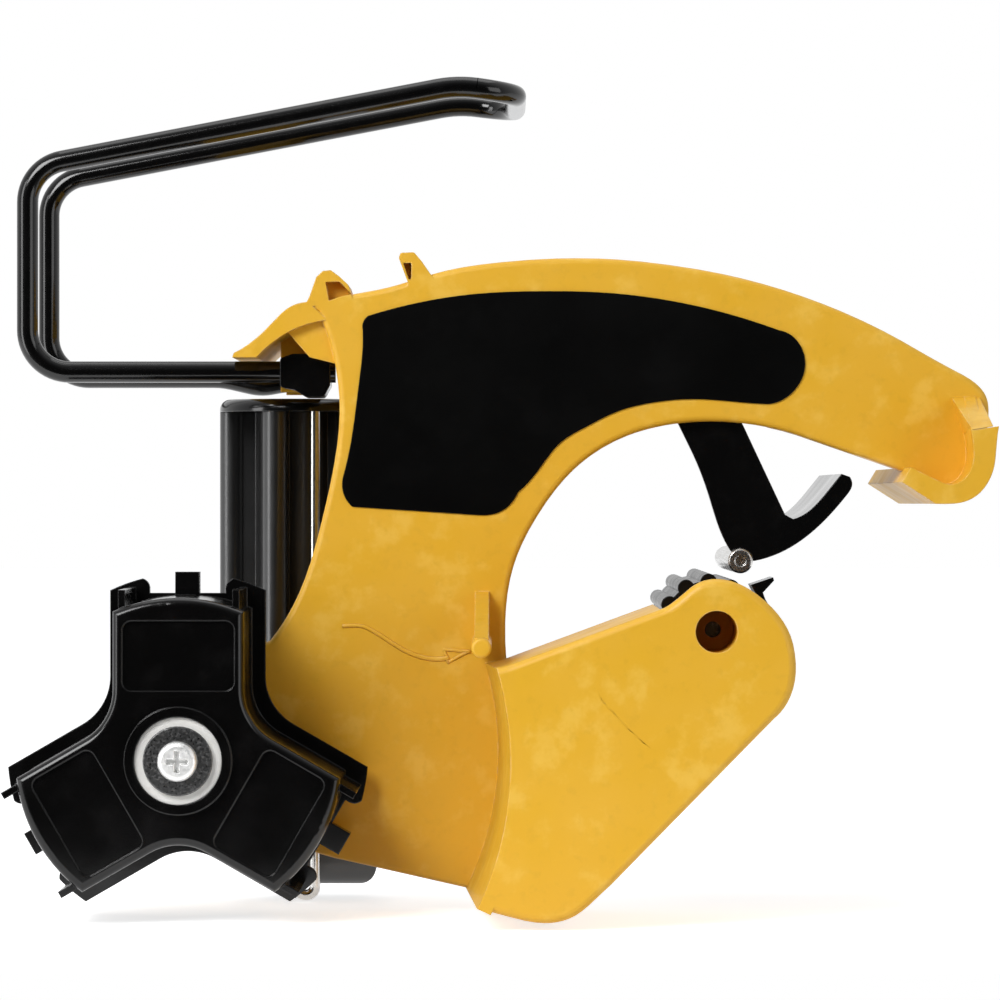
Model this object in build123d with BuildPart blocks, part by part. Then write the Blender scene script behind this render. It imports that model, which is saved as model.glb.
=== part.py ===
from build123d import *
from math import atan2, cos, degrees, hypot, pi, radians, sin, tan
import os

# A hand-held dispenser that lays masking paper and tape together.
# X runs to the right along the handle, Y away from the viewer, Z up.
# The origin is on the tape hub's axis, in the plane of the hub's front face.

# Overall reach of the body from the hub's axis
frame_length = 174.3
frame_height = 107.3

# Depths of the body's planes
plate_front = 43.0
plate_wall = 3.0
side_wall = 3.0
arm_front = -13.0
channel_depth = 32.0
lip_depth = 7.0
bump_pocket_depth = 3.5
bump_round = 0.6
overrun = 2.0
edge_round = 1.6
plate_round = 1.2

# Running and seating clearances
running_gap = 0.06
seat_gap = 0.04
side_gap = 0.5
open_gap = 0.3

# Tape hub, for a core of three inches
core_radius = 37.7
hub_depth = 39.0
hub_arm_half_width = 13.8
hub_arm_reach = 34.2
hub_wall = 2.2
hub_valley_round = 12.0
hub_flange_thickness = 2.5
hub_flange_half_width = 16.8
hub_flange_overhang = 0.4
hub_ear_inner = 8.2
hub_ear_reach = 37.8
hub_ear_round = 2.2
hub_ear_limit = 39.0
hub_rib_thickness = 1.5
hub_rib_root = 31.0
hub_rib_inset = 1.8
hub_tab_width = 5.2
hub_tab_reach = 39.2
hub_tab_depth = 5.0
hub_ring_radius = 11.3
hub_ring_rise = 1.6
hub_panel_depth = 0.8
hub_panel_margin = 2.0
hub_panel_root = 14.6
hub_panel_round = 2.0
hub_arm_count = 3

# Hub bearing and its screw
bushing_radius = 9.2
bushing_wall = 2.0
washer_radius = 7.3
washer_thickness = 1.4
screw_radius = 2.5
screw_head_radius = 4.2
screw_head_height = 2.4
screw_cross_width = 1.1
screw_cross_length = 4.6
screw_cross_depth = 1.5
screw_reach = 9.0
insert_radius = 4.0
insert_length = 8.0
boss_radius = 8.0
boss_length = 10.0
drag_ring_width = 2.4
drag_ring_thickness = 0.8

# Tape well, an arc about the hub, with a drafted wall
well_radius = 67.0
well_draft = 2.7
well_wall = 3.0
well_top_angle = 14.5
well_bottom_angle = 25.6

# Guide post beside the tape well
post_radius = 2.1
post_length = 50.0
gusset_thickness = 3.0
gusset_height = 11.0
wedge_thickness = 2.6
roof_gusset_thickness = 2.5

# Forearm brace, a bent wire with two runs
wire_radius = 2.35
brace_near = 55.0
brace_far = 113.0
brace_swing = 20.0

# Pivot block of the brace
block_depth = 13.5
block_length = 11.0
block_round = 0.9
spring_washer_thickness = 1.2
lug_thickness = 5.0
lug_half_width = 4.6
lug_drop = 4.2
far_lug_gap = 27.0

# Mandrel for the paper roll
mandrel_radius = 17.5
mandrel_depth = 83.0
lobe_count = 5
lobe_radius = 2.8
lobe_web = 2.6
core_tube_radius = 9.5
core_tube_wall = 2.4
cap_height = 2.8
cap_round = 2.2
foot_right = 17.8
foot_left = 11.0
foot_corner = 4.0
foot_drop = 13.0
foot_half_depth = 11.0
foot_rise = 8.0
foot_round = 5.0
hinge_pin_radius = 2.0
hinge_head_radius = 3.6
hinge_head_length = 1.6
ear_thickness = 2.8
ear_half_height = 5.0
ear_washer_radius = 5.0
ear_washer_thickness = 0.6
rod_radius = 1.2
rod_offset = 4.3
rod_orbit = 15.3
rod_hook_radius = 2.0
eyelet_half_width = 2.7
eyelet_height = 5.0
clip_thickness = 0.8
clip_width = 1.3
clip_opening = 60.0

# Trigger and nip bar
cheek_thickness = 3.0
pad_width = 83.0
far_lug_width = 3.0
trigger_pin_radius = 2.0
trigger_sleeve_radius = 3.8
trigger_sleeve_length = 18.0
trigger_head_radius = 6.0
web_thickness = 3.0
web_half_width = 8.0
nip_radius = 2.7
nip_length = 74.0
nip_proud = 2.6
nip_socket_radius = 1.2
nip_socket_depth = 2.0
spring_wire_radius = 0.6
spring_mean_radius = 5.2
spring_pitch = 1.9
spring_turns = 5
spring_leg = 5.0

# Ribbed roller
roller_radius = 11.5
roller_front = 31.0
roller_length = 88.0
roller_core_radius = 9.9
roller_wall = 2.2
roller_rib_count = 12
roller_rib_width = 3.6
roller_end_wall = 5.0
stripper_reach = 12.6
axle_radius = 3.0
axle_socket_depth = 14.0
axle_tail = 3.0
bore_radius = 4.35
bore_pocket_depth = 21.0
bore_small_radius = 1.7
bore_floor = 3.0
arm_boss_radius = 7.0

# Channel that holds the cutting blade
blade_channel_front = 24.0
blade_channel_length = 110.0

# Label
label_thickness = 0.3

# Places on the body, as shares of its length and height
top_edge_shares = [(0.143, 0.911), (0.203, 0.927), (0.250, 0.942), (0.312, 0.972),
                   (0.387, 0.992), (0.462, 1.000), (0.532, 0.998), (0.602, 0.986),
                   (0.672, 0.966), (0.743, 0.935), (0.813, 0.893), (0.883, 0.838),
                   (0.952, 0.775), (0.981, 0.747)]
nose_shares = [(0.981, 0.747), (0.994, 0.721), (0.9975, 0.684), (0.994, 0.640), (0.986, 0.597),
               (0.971, 0.556), (0.953, 0.529), (0.930, 0.530), (0.895, 0.565)]
channel_outer_shares = [(1.000, 0.657), (0.9965, 0.606), (0.993, 0.569), (0.984, 0.538),
                        (0.9715, 0.517), (0.955, 0.505), (0.9425, 0.502), (0.9225, 0.502)]
channel_lip_share = (0.881, 0.545)
channel_inner_shares = [(0.892, 0.575), (0.9325, 0.543), (0.955, 0.549), (0.966, 0.573),
                        (0.969, 0.606), (0.966, 0.649)]
under_edge_shares = [(0.778, 0.631), (0.689, 0.666), (0.613, 0.666),
                     (0.549, 0.642), (0.483, 0.577), (0.436, 0.483), (0.405, 0.380),
                     (0.394, 0.267), (0.396, 0.175)]
column_shares = [(0.100, 0.224), (0.138, 0.327), (0.165, 0.469), (0.182, 0.600),
                 (0.187, 0.700), (0.184, 0.760), (0.170, 0.854), (0.160, 0.891)]
plate_bottom_shares = [(0.398, -0.290), (0.352, -0.279), (0.180, -0.216), (0.035, -0.150)]
plate_left_shares = [(0.035, -0.150), (-0.086, 0.000), (0.010, 0.150), (0.100, 0.224)]
arm_cap_shares = [(0.583, 0.301), (0.607, 0.330), (0.623, 0.349), (0.647, 0.357),
                  (0.670, 0.349), (0.691, 0.330), (0.714, 0.297), (0.732, 0.253),
                  (0.739, 0.208), (0.739, 0.164), (0.732, 0.125), (0.714, 0.087)]
arm_toe_shares = [(0.520, -0.234), (0.497, -0.269), (0.473, -0.298), (0.442, -0.309),
                  (0.413, -0.303), (0.367, -0.284)]
arm_top_share = (0.396, 0.189)
arm_inside_shares = [(0.300, -0.265), (0.330, 0.165)]
roller_share = (0.645, 0.255)
bump_one_shares = [(0.143, 0.900), (0.150, 0.925), (0.158, 0.962), (0.166, 0.974),
                   (0.176, 0.976), (0.186, 0.964), (0.198, 0.946), (0.204, 0.915)]
bump_notch_shares = [(0.1695, 0.9515), (0.187, 0.9525), (0.202, 0.927), (0.189, 0.922),
                     (0.174, 0.914)]
bump_two_shares = [(0.272, 0.935), (0.272, 0.952), (0.261, 1.000), (0.263, 1.011),
                   (0.280, 1.012), (0.290, 0.993), (0.306, 0.955)]
bump_two_notch_shares = [(0.2665, 0.990), (0.2765, 0.990), (0.2765, 0.957), (0.2735, 0.957)]
roof_outer_shares = [(0.148, 0.911), (0.121, 0.897), (0.100, 0.864), (0.072, 0.824),
                     (0.055, 0.808)]
roof_rim_shares = [(0.053, 0.799), (0.083, 0.799)]
roof_inner_shares = [(0.083, 0.799), (0.125, 0.852), (0.172, 0.875)]
roof_gusset_shares = [(0.116, 0.862), (0.149, 0.800), (0.184, 0.786), (0.190, 0.885),
                      (0.135, 0.892)]
deep_wall_shares = [(0.262, 0.780), (0.262, 1.100), (1.050, 1.100), (1.050, 0.600),
                    (0.960, 0.600), (0.900, 0.700), (0.780, 0.780), (0.620, 0.800),
                    (0.480, 0.780)]
pivot_share = (0.135, 0.7717)
post_share = (0.365, 0.222)
trigger_pivot_share = (0.625, 0.764)
nip_share = (0.6875, 0.386)
cheek_left_shares = [(0.588, 0.764), (0.603, 0.690), (0.633, 0.587), (0.649, 0.516),
                     (0.668, 0.428), (0.675, 0.408)]
cheek_right_shares = [(0.657, 0.764), (0.692, 0.660), (0.744, 0.480)]
pad_outer_shares = [(0.706, 0.386), (0.763, 0.426), (0.794, 0.469), (0.820, 0.517),
                    (0.828, 0.540), (0.825, 0.557)]
pad_inner_shares = [(0.8145, 0.563), (0.803, 0.540), (0.785, 0.505), (0.769, 0.482),
                    (0.754, 0.471)]
pad_root_shares = [(0.744, 0.448), (0.722, 0.432), (0.706, 0.418)]
brace_shares = [(-0.208, 0.7717), (-0.208, 1.190), (0.333, 1.358), (0.407, 1.342)]
brace_dip_shares = [(0.022, 0.7717), (0.072, 0.7530)]
label_shares = [
    [(0.223, 0.883), (0.289, 0.911), (0.354, 0.927), (0.440, 0.933), (0.526, 0.929),
     (0.602, 0.913), (0.672, 0.887), (0.735, 0.854)],
    [(0.735, 0.854), (0.760, 0.828), (0.768, 0.787), (0.757, 0.737), (0.722, 0.704)],
    [(0.722, 0.704), (0.672, 0.710), (0.637, 0.714), (0.602, 0.712), (0.567, 0.704),
     (0.532, 0.688), (0.497, 0.660), (0.462, 0.625), (0.440, 0.581), (0.410, 0.526)],
    [(0.410, 0.526), (0.390, 0.488), (0.362, 0.479)],
    [(0.362, 0.479), (0.203, 0.496)],
    [(0.203, 0.496), (0.193, 0.518), (0.191, 0.554)],
    [(0.191, 0.554), (0.203, 0.644), (0.211, 0.743), (0.215, 0.798), (0.216, 0.854)],
    [(0.216, 0.854), (0.217, 0.872), (0.223, 0.883)],
]
stripper_shares = [(1.016, -0.430), (1.111, -0.430), (1.079, 0.286), (0.968, 0.476),
                   (0.929, 0.587), (1.119, 0.794), (1.103, 0.849), (0.722, 0.722),
                   (0.770, 0.627), (0.976, 0.270)]
block_shares = [(-0.380, -0.310), (-0.380, 0.265), (-0.135, 0.355), (0.455, 0.355),
                (0.620, 0.265), (0.620, -0.275), (0.490, -0.510), (0.135, -0.510),
                (-0.090, -0.365)]
mandrel_share = (0.1268, -0.168)
mandrel_top_share = 0.7195

# Values worked out from the sizes above
plate_back = plate_front + plate_wall
lip_back = plate_front + lip_depth
channel_back = plate_front + channel_depth
arm_inside = arm_front + plate_wall
cheek_front = plate_back + side_gap
cheek_back = cheek_front + cheek_thickness
block_front = lip_back + 1.0 * side_gap
block_back = block_front + block_depth
near_lug_front = block_back + spring_washer_thickness + open_gap
near_lug_back = near_lug_front + lug_thickness
far_lug_front = near_lug_back + far_lug_gap
far_lug_back = far_lug_front + lug_thickness
roof_back = brace_far + wire_radius + 2 * side_wall
mandrel_x = mandrel_share[0] * frame_length
hinge_z = mandrel_share[1] * frame_height
mandrel_top = mandrel_top_share * frame_height
left_ear = mandrel_x - foot_left - ear_washer_thickness - 2 * running_gap
right_ear = mandrel_x + foot_right + ear_washer_thickness + 2 * running_gap
near_well_radius = well_radius + well_draft


def spot(shares):
    """Place on the body's face, in its own length and height."""
    return (shares[0] * frame_length, shares[1] * frame_height)


def spots(table):
    return [spot(shares) for shares in table]


def face_at(depth):
    """Sketch plane that faces the viewer at a depth."""
    return Plane.XZ.offset(-depth)


def at_depth(place, depth):
    return (place[0], depth, place[1])


roller_place = spot(roller_share)
pivot_place = spot(pivot_share)
post_place = spot(post_share)
trigger_place = spot(trigger_pivot_share)
nip_place = spot(nip_share)

stripper_points = [(roller_place[0] + stripper_reach * right, roller_place[1] + stripper_reach * up)
                   for right, up in stripper_shares]

os.makedirs("parts", exist_ok=True)


# Outline of the plate, column, handle and channel as one face
with BuildSketch(face_at(plate_back)) as plate_face:
    with BuildLine():
        Spline(*spots(top_edge_shares), *spots(nose_shares[1:]))
        Line(spot(nose_shares[-1]), spot(under_edge_shares[0]))
        Spline(*spots(under_edge_shares))
        Line(spot(under_edge_shares[-1]), spot(plate_bottom_shares[0]))
        Polyline(*spots(plate_bottom_shares))
        Spline(*spots(plate_left_shares))
        Spline(*spots(column_shares))
        Line(spot(column_shares[-1]), spot(top_edge_shares[0]))
    make_face()


def draw_again(outline):
    """Draw a set-in outline again with plain lines and splines."""
    edges = outline.order_edges()
    first = here = edges[0] @ 0
    for edge in edges:
        forward = (edge @ 0 - here).length < (edge @ 1 - here).length
        steps = 1 if edge.geom_type == GeomType.LINE else max(3, int(edge.length / (2 * side_wall)))
        track = [edge @ (step / steps if forward else 1 - step / steps)
                 for step in range(steps + 1)]
        track[0] = here
        if edge is edges[-1]:
            track[-1] = first
        if steps == 1:
            Line(*track)
        else:
            turned = 1 if forward else -1
            ends = (edge % 0, edge % 1) if forward else (edge % 1, edge % 0)
            Spline(*track, tangents=[turned * end for end in ends])
        here = track[-1]


# The same outline, set in by one wall
with BuildSketch() as plate_set_in:
    add(plate_face.sketch_local)
    offset(amount=-side_wall, mode=Mode.REPLACE)
with BuildSketch(face_at(plate_back)) as plate_inner_face:
    with BuildLine():
        draw_again(plate_set_in.faces()[0].outer_wire())
    make_face()

# Outline of the forward arm
with BuildSketch(face_at(arm_inside)) as arm_face:
    with BuildLine():
        Line(spot(arm_inside_shares[1]), spot(arm_top_share))
        Line(spot(arm_top_share), spot(arm_cap_shares[0]))
        Spline(*spots(arm_cap_shares))
        Line(spot(arm_cap_shares[-1]), spot(arm_toe_shares[0]))
        Spline(*spots(arm_toe_shares))
        Line(spot(arm_toe_shares[-1]), spot(arm_inside_shares[0]))
        Line(spot(arm_inside_shares[0]), spot(arm_inside_shares[1]))
    make_face()

with BuildSketch() as arm_set_in:
    add(arm_face.sketch_local)
    offset(amount=-side_wall, mode=Mode.REPLACE)
with BuildSketch(face_at(arm_inside)) as arm_inner_face:
    with BuildLine():
        draw_again(arm_set_in.faces()[0].outer_wire())
    make_face()

# Blade channel's section
with BuildSketch(face_at(blade_channel_front + blade_channel_length)) as channel_face:
    with BuildLine():
        Spline(*spots(channel_outer_shares))
        Polyline(spot(channel_outer_shares[-1]), spot(channel_lip_share),
                 spot(channel_inner_shares[0]))
        Line(spot(channel_inner_shares[0]), spot(channel_inner_shares[1]))
        Spline(*spots(channel_inner_shares[1:]))
        Line(spot(channel_inner_shares[-1]), spot(channel_outer_shares[0]))
    make_face()

# Forward arm as a hollow box, open at its back
with BuildPart() as arm_box:
    with BuildSketch(face_at(plate_back)):
        add(arm_face.sketch)
    extrude(amount=plate_back - arm_front)
    fillet(arm_box.faces().sort_by(Axis.Y)[0].edges(), edge_round)
    with BuildSketch(face_at(plate_back + overrun)):
        add(arm_inner_face.sketch)
    extrude(amount=plate_back + overrun - arm_inside, mode=Mode.SUBTRACT)
    with BuildSketch(face_at(plate_back + overrun)):
        with Locations(roller_place):
            Circle(roller_radius + 2 * side_gap)
    extrude(amount=plate_back + overrun - arm_inside, mode=Mode.SUBTRACT)
    with BuildSketch(Plane.XY):
        with BuildLine():
            Polyline((0, arm_front - overrun), (near_well_radius, arm_front - overrun),
                     (near_well_radius, arm_front), (well_radius, plate_back),
                     (well_radius, plate_back + overrun), (0, plate_back + overrun), close=True)
        make_face()
    revolve(axis=Axis.Y, mode=Mode.SUBTRACT)

with BuildPart() as body_frame:
    # Plate with a rolled front edge and a shallow rear lip
    with BuildSketch(face_at(lip_back)):
        add(plate_face.sketch)
    extrude(amount=lip_depth)
    fillet(body_frame.faces().sort_by(Axis.Y)[0].edges(), plate_round)
    with BuildSketch(face_at(lip_back)):
        add(plate_inner_face.sketch)
    extrude(amount=lip_back - plate_back, mode=Mode.SUBTRACT)
    # Deep channel walls behind the handle
    with BuildSketch(face_at(channel_back)):
        add(plate_face.sketch)
        add(plate_inner_face.sketch, mode=Mode.SUBTRACT)
        with BuildLine():
            Polyline(*spots(deep_wall_shares), close=True)
        make_face(mode=Mode.INTERSECT)
    extrude(amount=channel_back - plate_back)
    # Ribs across the back of the handle
    with BuildSketch(face_at(plate_back + lip_depth)):
        add(plate_inner_face.sketch)
        with BuildLine():
            Polyline(spot((0.480, 0.500)), spot((0.480, 1.100)),
                     spot((0.492, 1.100)), spot((0.492, 0.500)), close=True)
            Polyline(spot((0.780, 0.500)), spot((0.780, 1.100)),
                     spot((0.792, 1.100)), spot((0.792, 0.500)), close=True)
        make_face(mode=Mode.INTERSECT)
    extrude(amount=lip_depth)
    # Forward arm and the wall of the tape well
    add(arm_box.part)
    well_plane = Plane.XY.rotated((0, -well_top_angle, 0))
    with BuildSketch(well_plane):
        with BuildLine():
            Polyline((near_well_radius, arm_front), (near_well_radius + well_wall, arm_front),
                     (well_radius + well_wall, plate_back), (well_radius, plate_back),
                     close=True)
        make_face()
    revolve(axis=Axis.Y, revolution_arc=well_top_angle + well_bottom_angle)
    # Boss for the roller's axle, with the pocket seen from the front
    with BuildSketch(face_at(roller_front - open_gap)):
        with Locations(roller_place):
            Circle(arm_boss_radius)
    extrude(amount=roller_front - open_gap - arm_inside)
    with BuildSketch(face_at(arm_front + bore_pocket_depth)):
        with Locations(roller_place):
            Circle(bore_radius)
    extrude(amount=bore_pocket_depth + overrun, mode=Mode.SUBTRACT)
    with BuildSketch(face_at(arm_front + bore_pocket_depth + bore_floor)):
        with Locations(roller_place):
            Circle(bore_small_radius)
    extrude(amount=bore_floor + overrun, mode=Mode.SUBTRACT)
    with BuildSketch(face_at(roller_front)):
        with Locations(roller_place):
            Circle(axle_radius + seat_gap)
    extrude(amount=roller_front - arm_front - bore_pocket_depth - bore_floor,
            mode=Mode.SUBTRACT)
    # Slot that holds the finger beside the roller
    with BuildSketch(face_at(plate_back + overrun)):
        with BuildLine():
            Polyline(*stripper_points, close=True)
        make_face()
        offset(amount=seat_gap, mode=Mode.REPLACE)
    extrude(amount=plate_back + overrun - roller_front + seat_gap, mode=Mode.SUBTRACT)
    # Boss for the hub's screw
    with BuildSketch(face_at(plate_back + boss_length)):
        Circle(boss_radius)
    extrude(amount=boss_length)
    with BuildSketch(face_at(plate_back + boss_length + overrun)):
        Circle(insert_radius + seat_gap)
    extrude(amount=insert_length + overrun, mode=Mode.SUBTRACT)
    with BuildSketch(face_at(plate_back + boss_length)):
        Circle(screw_radius + seat_gap)
    extrude(amount=boss_length + plate_wall + overrun, mode=Mode.SUBTRACT)
    # Guide post and its gusset
    with BuildSketch(face_at(plate_front + overrun)):
        with Locations(post_place):
            Circle(post_radius)
    extrude(amount=post_length + overrun)
    fillet(body_frame.edges().filter_by(GeomType.CIRCLE).filter_by_position(
        Axis.Y, plate_front - post_length, plate_front - post_length), post_radius / 3)
    with BuildSketch(Plane.YZ.offset(post_place[0] - gusset_thickness / 2)):
        with BuildLine():
            Polyline((plate_front + overrun, post_place[1]),
                     (plate_front + overrun, post_place[1] + gusset_height),
                     (plate_front, post_place[1] + gusset_height),
                     (plate_front - 0.9 * post_length, post_place[1] + post_radius),
                     (plate_front - 0.9 * post_length, post_place[1]), close=True)
        make_face()
    extrude(amount=gusset_thickness)
    # Catches on the top edge
    with BuildSketch(face_at(plate_front + 0.8 * channel_depth)):
        with BuildLine():
            Polyline(*spots(bump_one_shares), close=True)
        catch = make_face()
        fillet(catch.vertices(), bump_round)
    extrude(amount=0.8 * channel_depth)
    with BuildSketch(face_at(plate_front + bump_pocket_depth)):
        with BuildLine():
            Polyline(*spots(bump_notch_shares), close=True)
        make_face()
    extrude(amount=bump_pocket_depth + overrun, mode=Mode.SUBTRACT)
    with BuildSketch(face_at(plate_front + 0.5 * channel_depth)):
        with BuildLine():
            Polyline(*spots(bump_two_shares), close=True)
        catch = make_face()
        fillet(catch.vertices(), bump_round)
    extrude(amount=0.5 * channel_depth)
    with BuildSketch(face_at(plate_front + bump_pocket_depth)):
        with BuildLine():
            Polyline(*spots(bump_two_notch_shares), close=True)
        make_face()
    extrude(amount=bump_pocket_depth + overrun, mode=Mode.SUBTRACT)
    # Roof over the brace and the mandrel's end
    with BuildSketch(face_at(roof_back)):
        with BuildLine():
            Spline(*spots(roof_outer_shares))
            Line(spot(roof_outer_shares[-1]), spot(roof_rim_shares[0]))
            Line(spot(roof_rim_shares[0]), spot(roof_rim_shares[1]))
            Spline(*spots(roof_inner_shares))
            Line(spot(roof_inner_shares[-1]), spot(roof_outer_shares[0]))
        make_face()
    extrude(amount=roof_back - plate_front)
    with BuildSketch(face_at(plate_back + roof_gusset_thickness)):
        with BuildLine():
            Polyline(*spots(roof_gusset_shares), close=True)
        make_face()
    extrude(amount=roof_gusset_thickness + overrun / 2)
    # Lugs that carry the brace's pivot run
    for lug_front in (near_lug_front, far_lug_front):
        with BuildSketch(face_at(lug_front + lug_thickness)):
            with BuildLine():
                Polyline((pivot_place[0] - lug_half_width, pivot_place[1] - lug_drop),
                         (pivot_place[0] - lug_half_width, spot(roof_inner_shares[1])[1]),
                         spot((0.140, 0.900)), spot((0.160, 0.880)),
                         (pivot_place[0] + lug_half_width, pivot_place[1] + lug_half_width),
                         (pivot_place[0] + lug_half_width, pivot_place[1] - lug_drop),
                         close=True)
            make_face()
            with Locations(pivot_place):
                Circle(wire_radius + running_gap, mode=Mode.SUBTRACT)
        extrude(amount=lug_thickness)
    # Ears that carry the mandrel's hinge pin
    for ear_start in (left_ear - ear_thickness, right_ear):
        with BuildSketch(Plane.YZ.offset(ear_start)):
            with BuildLine():
                Polyline((plate_back - overrun / 2, hinge_z - ear_half_height),
                         (mandrel_depth, hinge_z - ear_half_height))
                Line((mandrel_depth, hinge_z - ear_half_height),
                     (mandrel_depth + ear_half_height, hinge_z))
                Line((mandrel_depth + ear_half_height, hinge_z),
                     (mandrel_depth, hinge_z + ear_half_height))
                Polyline((mandrel_depth, hinge_z + ear_half_height),
                         (plate_back - overrun / 2, hinge_z + ear_half_height),
                         (plate_back - overrun / 2, hinge_z - ear_half_height))
            make_face()
            with Locations((mandrel_depth, hinge_z)):
                Circle(hinge_pin_radius + seat_gap, mode=Mode.SUBTRACT)
        extrude(amount=ear_thickness)
    # Blade channel, proud of the handle's face, with its sloping gusset
    with BuildSketch(face_at(blade_channel_front + blade_channel_length)):
        add(channel_face.sketch)
    extrude(amount=blade_channel_length)
    web_x = spot(channel_inner_shares[-1])[0]
    gusset_low = spot(channel_inner_shares[-1])[1]
    with BuildSketch(Plane.YZ.offset(web_x)):
        with BuildLine():
            Polyline((plate_front + overrun / 2, gusset_low),
                     (blade_channel_front, gusset_low),
                     (plate_front, spot((0, 0.719))[1]),
                     (plate_front + overrun / 2, spot((0, 0.719))[1]), close=True)
        make_face()
    extrude(amount=wedge_thickness)
    # Inner wall that carries the far end of the trigger's pin
    web_front = cheek_front + trigger_sleeve_length + side_gap
    with BuildSketch(face_at(web_front + web_thickness)):
        add(plate_inner_face.sketch)
        with BuildLine():
            Polyline((trigger_place[0] - web_half_width, spot((0, 0.6))[1]),
                     (trigger_place[0] - web_half_width, spot((0, 1.1))[1]),
                     (trigger_place[0] + web_half_width, spot((0, 1.1))[1]),
                     (trigger_place[0] + web_half_width, spot((0, 0.6))[1]), close=True)
        make_face(mode=Mode.INTERSECT)
        with Locations(trigger_place):
            Circle(trigger_pin_radius + seat_gap, mode=Mode.SUBTRACT)
    extrude(amount=web_thickness)
    with BuildSketch(face_at(plate_back)):
        with Locations(trigger_place):
            Circle(trigger_pin_radius + seat_gap)
    extrude(amount=plate_wall / 2, mode=Mode.SUBTRACT)
    # Slot in the handle's underside for the trigger
    slot_left = spot((0.592, 0))[0]
    slot_right = spot((0.722, 0))[0]
    with BuildSketch(face_at(cheek_back + side_gap)):
        with BuildLine():
            Polyline((slot_left, spot((0, 0.600))[1]), (slot_left, spot((0, 0.725))[1]),
                     (slot_right, spot((0, 0.725))[1]), (slot_right, spot((0, 0.600))[1]),
                     close=True)
        make_face()
    extrude(amount=cheek_back + side_gap - plate_back, mode=Mode.SUBTRACT)
body_frame.part.label = "body_frame"
export_step(body_frame.part, "parts/body_frame.step")

with BuildPart() as side_label:
    with BuildSketch(face_at(plate_front)):
        with BuildLine():
            for stretch in label_shares:
                if len(stretch) == 2:
                    Line(*spots(stretch))
                else:
                    Spline(*spots(stretch))
        make_face()
    extrude(amount=label_thickness)
side_label.part.label = "side_label"
export_step(side_label.part, "parts/side_label.step")

# Outline of the hub's three arms, cut into two planes
arm_angles = [90 + 360 * turn / hub_arm_count for turn in range(hub_arm_count)]


with BuildSketch(face_at(hub_depth)) as hub_face:
    for angle in arm_angles:
        with Locations(Location((0, 0, 0), (0, 0, angle))):
            Rectangle(hub_arm_reach + overrun, 2 * hub_arm_half_width,
                      align=(Align.MIN, Align.CENTER))
    valleys = hub_face.vertices().filter_by(
        lambda corner: hypot(corner.X, corner.Y) < 1.5 * hub_arm_half_width)
    fillet(valleys, hub_valley_round)
    Circle(hub_arm_reach, mode=Mode.INTERSECT)

with BuildSketch(face_at(hub_depth)) as hub_flange_face:
    for angle in arm_angles:
        with Locations(Location((0, 0, 0), (0, 0, angle))):
            Rectangle(hub_arm_reach + hub_flange_overhang, 2 * hub_flange_half_width,
                      align=(Align.MIN, Align.CENTER))
    flange_valleys = hub_flange_face.vertices().filter_by(
        lambda corner: hypot(corner.X, corner.Y) < 1.5 * hub_flange_half_width)
    fillet(flange_valleys, hub_valley_round)

with BuildPart() as tape_hub:
    with BuildSketch(face_at(hub_depth)):
        add(hub_face.sketch)
    extrude(amount=hub_depth)
    fillet(tape_hub.faces().sort_by(Axis.Y)[0].edges(), edge_round)
    with BuildSketch(face_at(hub_depth + overrun)):
        add(hub_face.sketch)
        offset(amount=-hub_wall, mode=Mode.REPLACE)
    extrude(amount=hub_depth + overrun - hub_wall, mode=Mode.SUBTRACT)
    # Rear flange that stops the core
    with BuildSketch(face_at(hub_depth)):
        add(hub_flange_face.sketch)
        add(hub_face.sketch, mode=Mode.SUBTRACT)
    extrude(amount=hub_flange_thickness)
    for angle in arm_angles:
        turn = Plane(origin=(0, hub_depth, 0), x_dir=(cos(radians(angle)), 0, sin(radians(angle))),
                     z_dir=(0, -1, 0))
        # Two thin ribs that grip the core
        with BuildSketch(turn):
            rib_middle = hub_arm_half_width - hub_rib_inset
            for side in (-1, 1):
                with Locations((hub_rib_root, side * rib_middle)):
                    Rectangle(core_radius * cos(rib_middle / core_radius) - hub_rib_root,
                              hub_rib_thickness, align=(Align.MIN, Align.CENTER))
        extrude(amount=hub_depth - hub_wall)
        # Ears at the flange's corners
        with BuildSketch(turn):
            ear_width = hub_flange_half_width - hub_ear_inner
            for side in (-1, 1):
                with Locations((hub_arm_reach - hub_ear_round,
                                side * (hub_ear_inner + ear_width / 2))):
                    RectangleRounded(hub_ear_reach - hub_arm_reach + hub_ear_round, ear_width,
                                     hub_ear_round, align=(Align.MIN, Align.CENTER))
            Circle(hub_ear_limit, mode=Mode.INTERSECT)
        extrude(amount=hub_flange_thickness)
        # Middle tab on the flange
        with BuildSketch(turn):
            with Locations((hub_arm_reach, 0)):
                Rectangle(hub_tab_reach - hub_arm_reach, hub_tab_width,
                          align=(Align.MIN, Align.CENTER))
        extrude(amount=hub_tab_depth)
        # Shallow panel in the arm's face
        panel = Plane(origin=(0, hub_panel_depth, 0),
                      x_dir=(cos(radians(angle)), 0, sin(radians(angle))), z_dir=(0, -1, 0))
        with BuildSketch(panel):
            with Locations((hub_panel_root, 0)):
                RectangleRounded(hub_arm_reach - hub_panel_root - 2.4 * hub_panel_margin,
                                 2 * (hub_arm_half_width - hub_panel_margin), hub_panel_round,
                                 align=(Align.MIN, Align.CENTER))
        extrude(amount=hub_panel_depth + overrun, mode=Mode.SUBTRACT)
    # Bearing tube and its raised ring
    with BuildSketch(face_at(hub_depth)):
        Circle(hub_ring_radius)
    extrude(amount=hub_depth + hub_ring_rise)
    with BuildSketch(face_at(hub_depth + overrun)):
        Circle(bushing_radius + running_gap)
    extrude(amount=hub_depth + hub_ring_rise + 2 * overrun, mode=Mode.SUBTRACT)
tape_hub.part.label = "tape_hub"
export_step(tape_hub.part, "parts/tape_hub.step")

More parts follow.
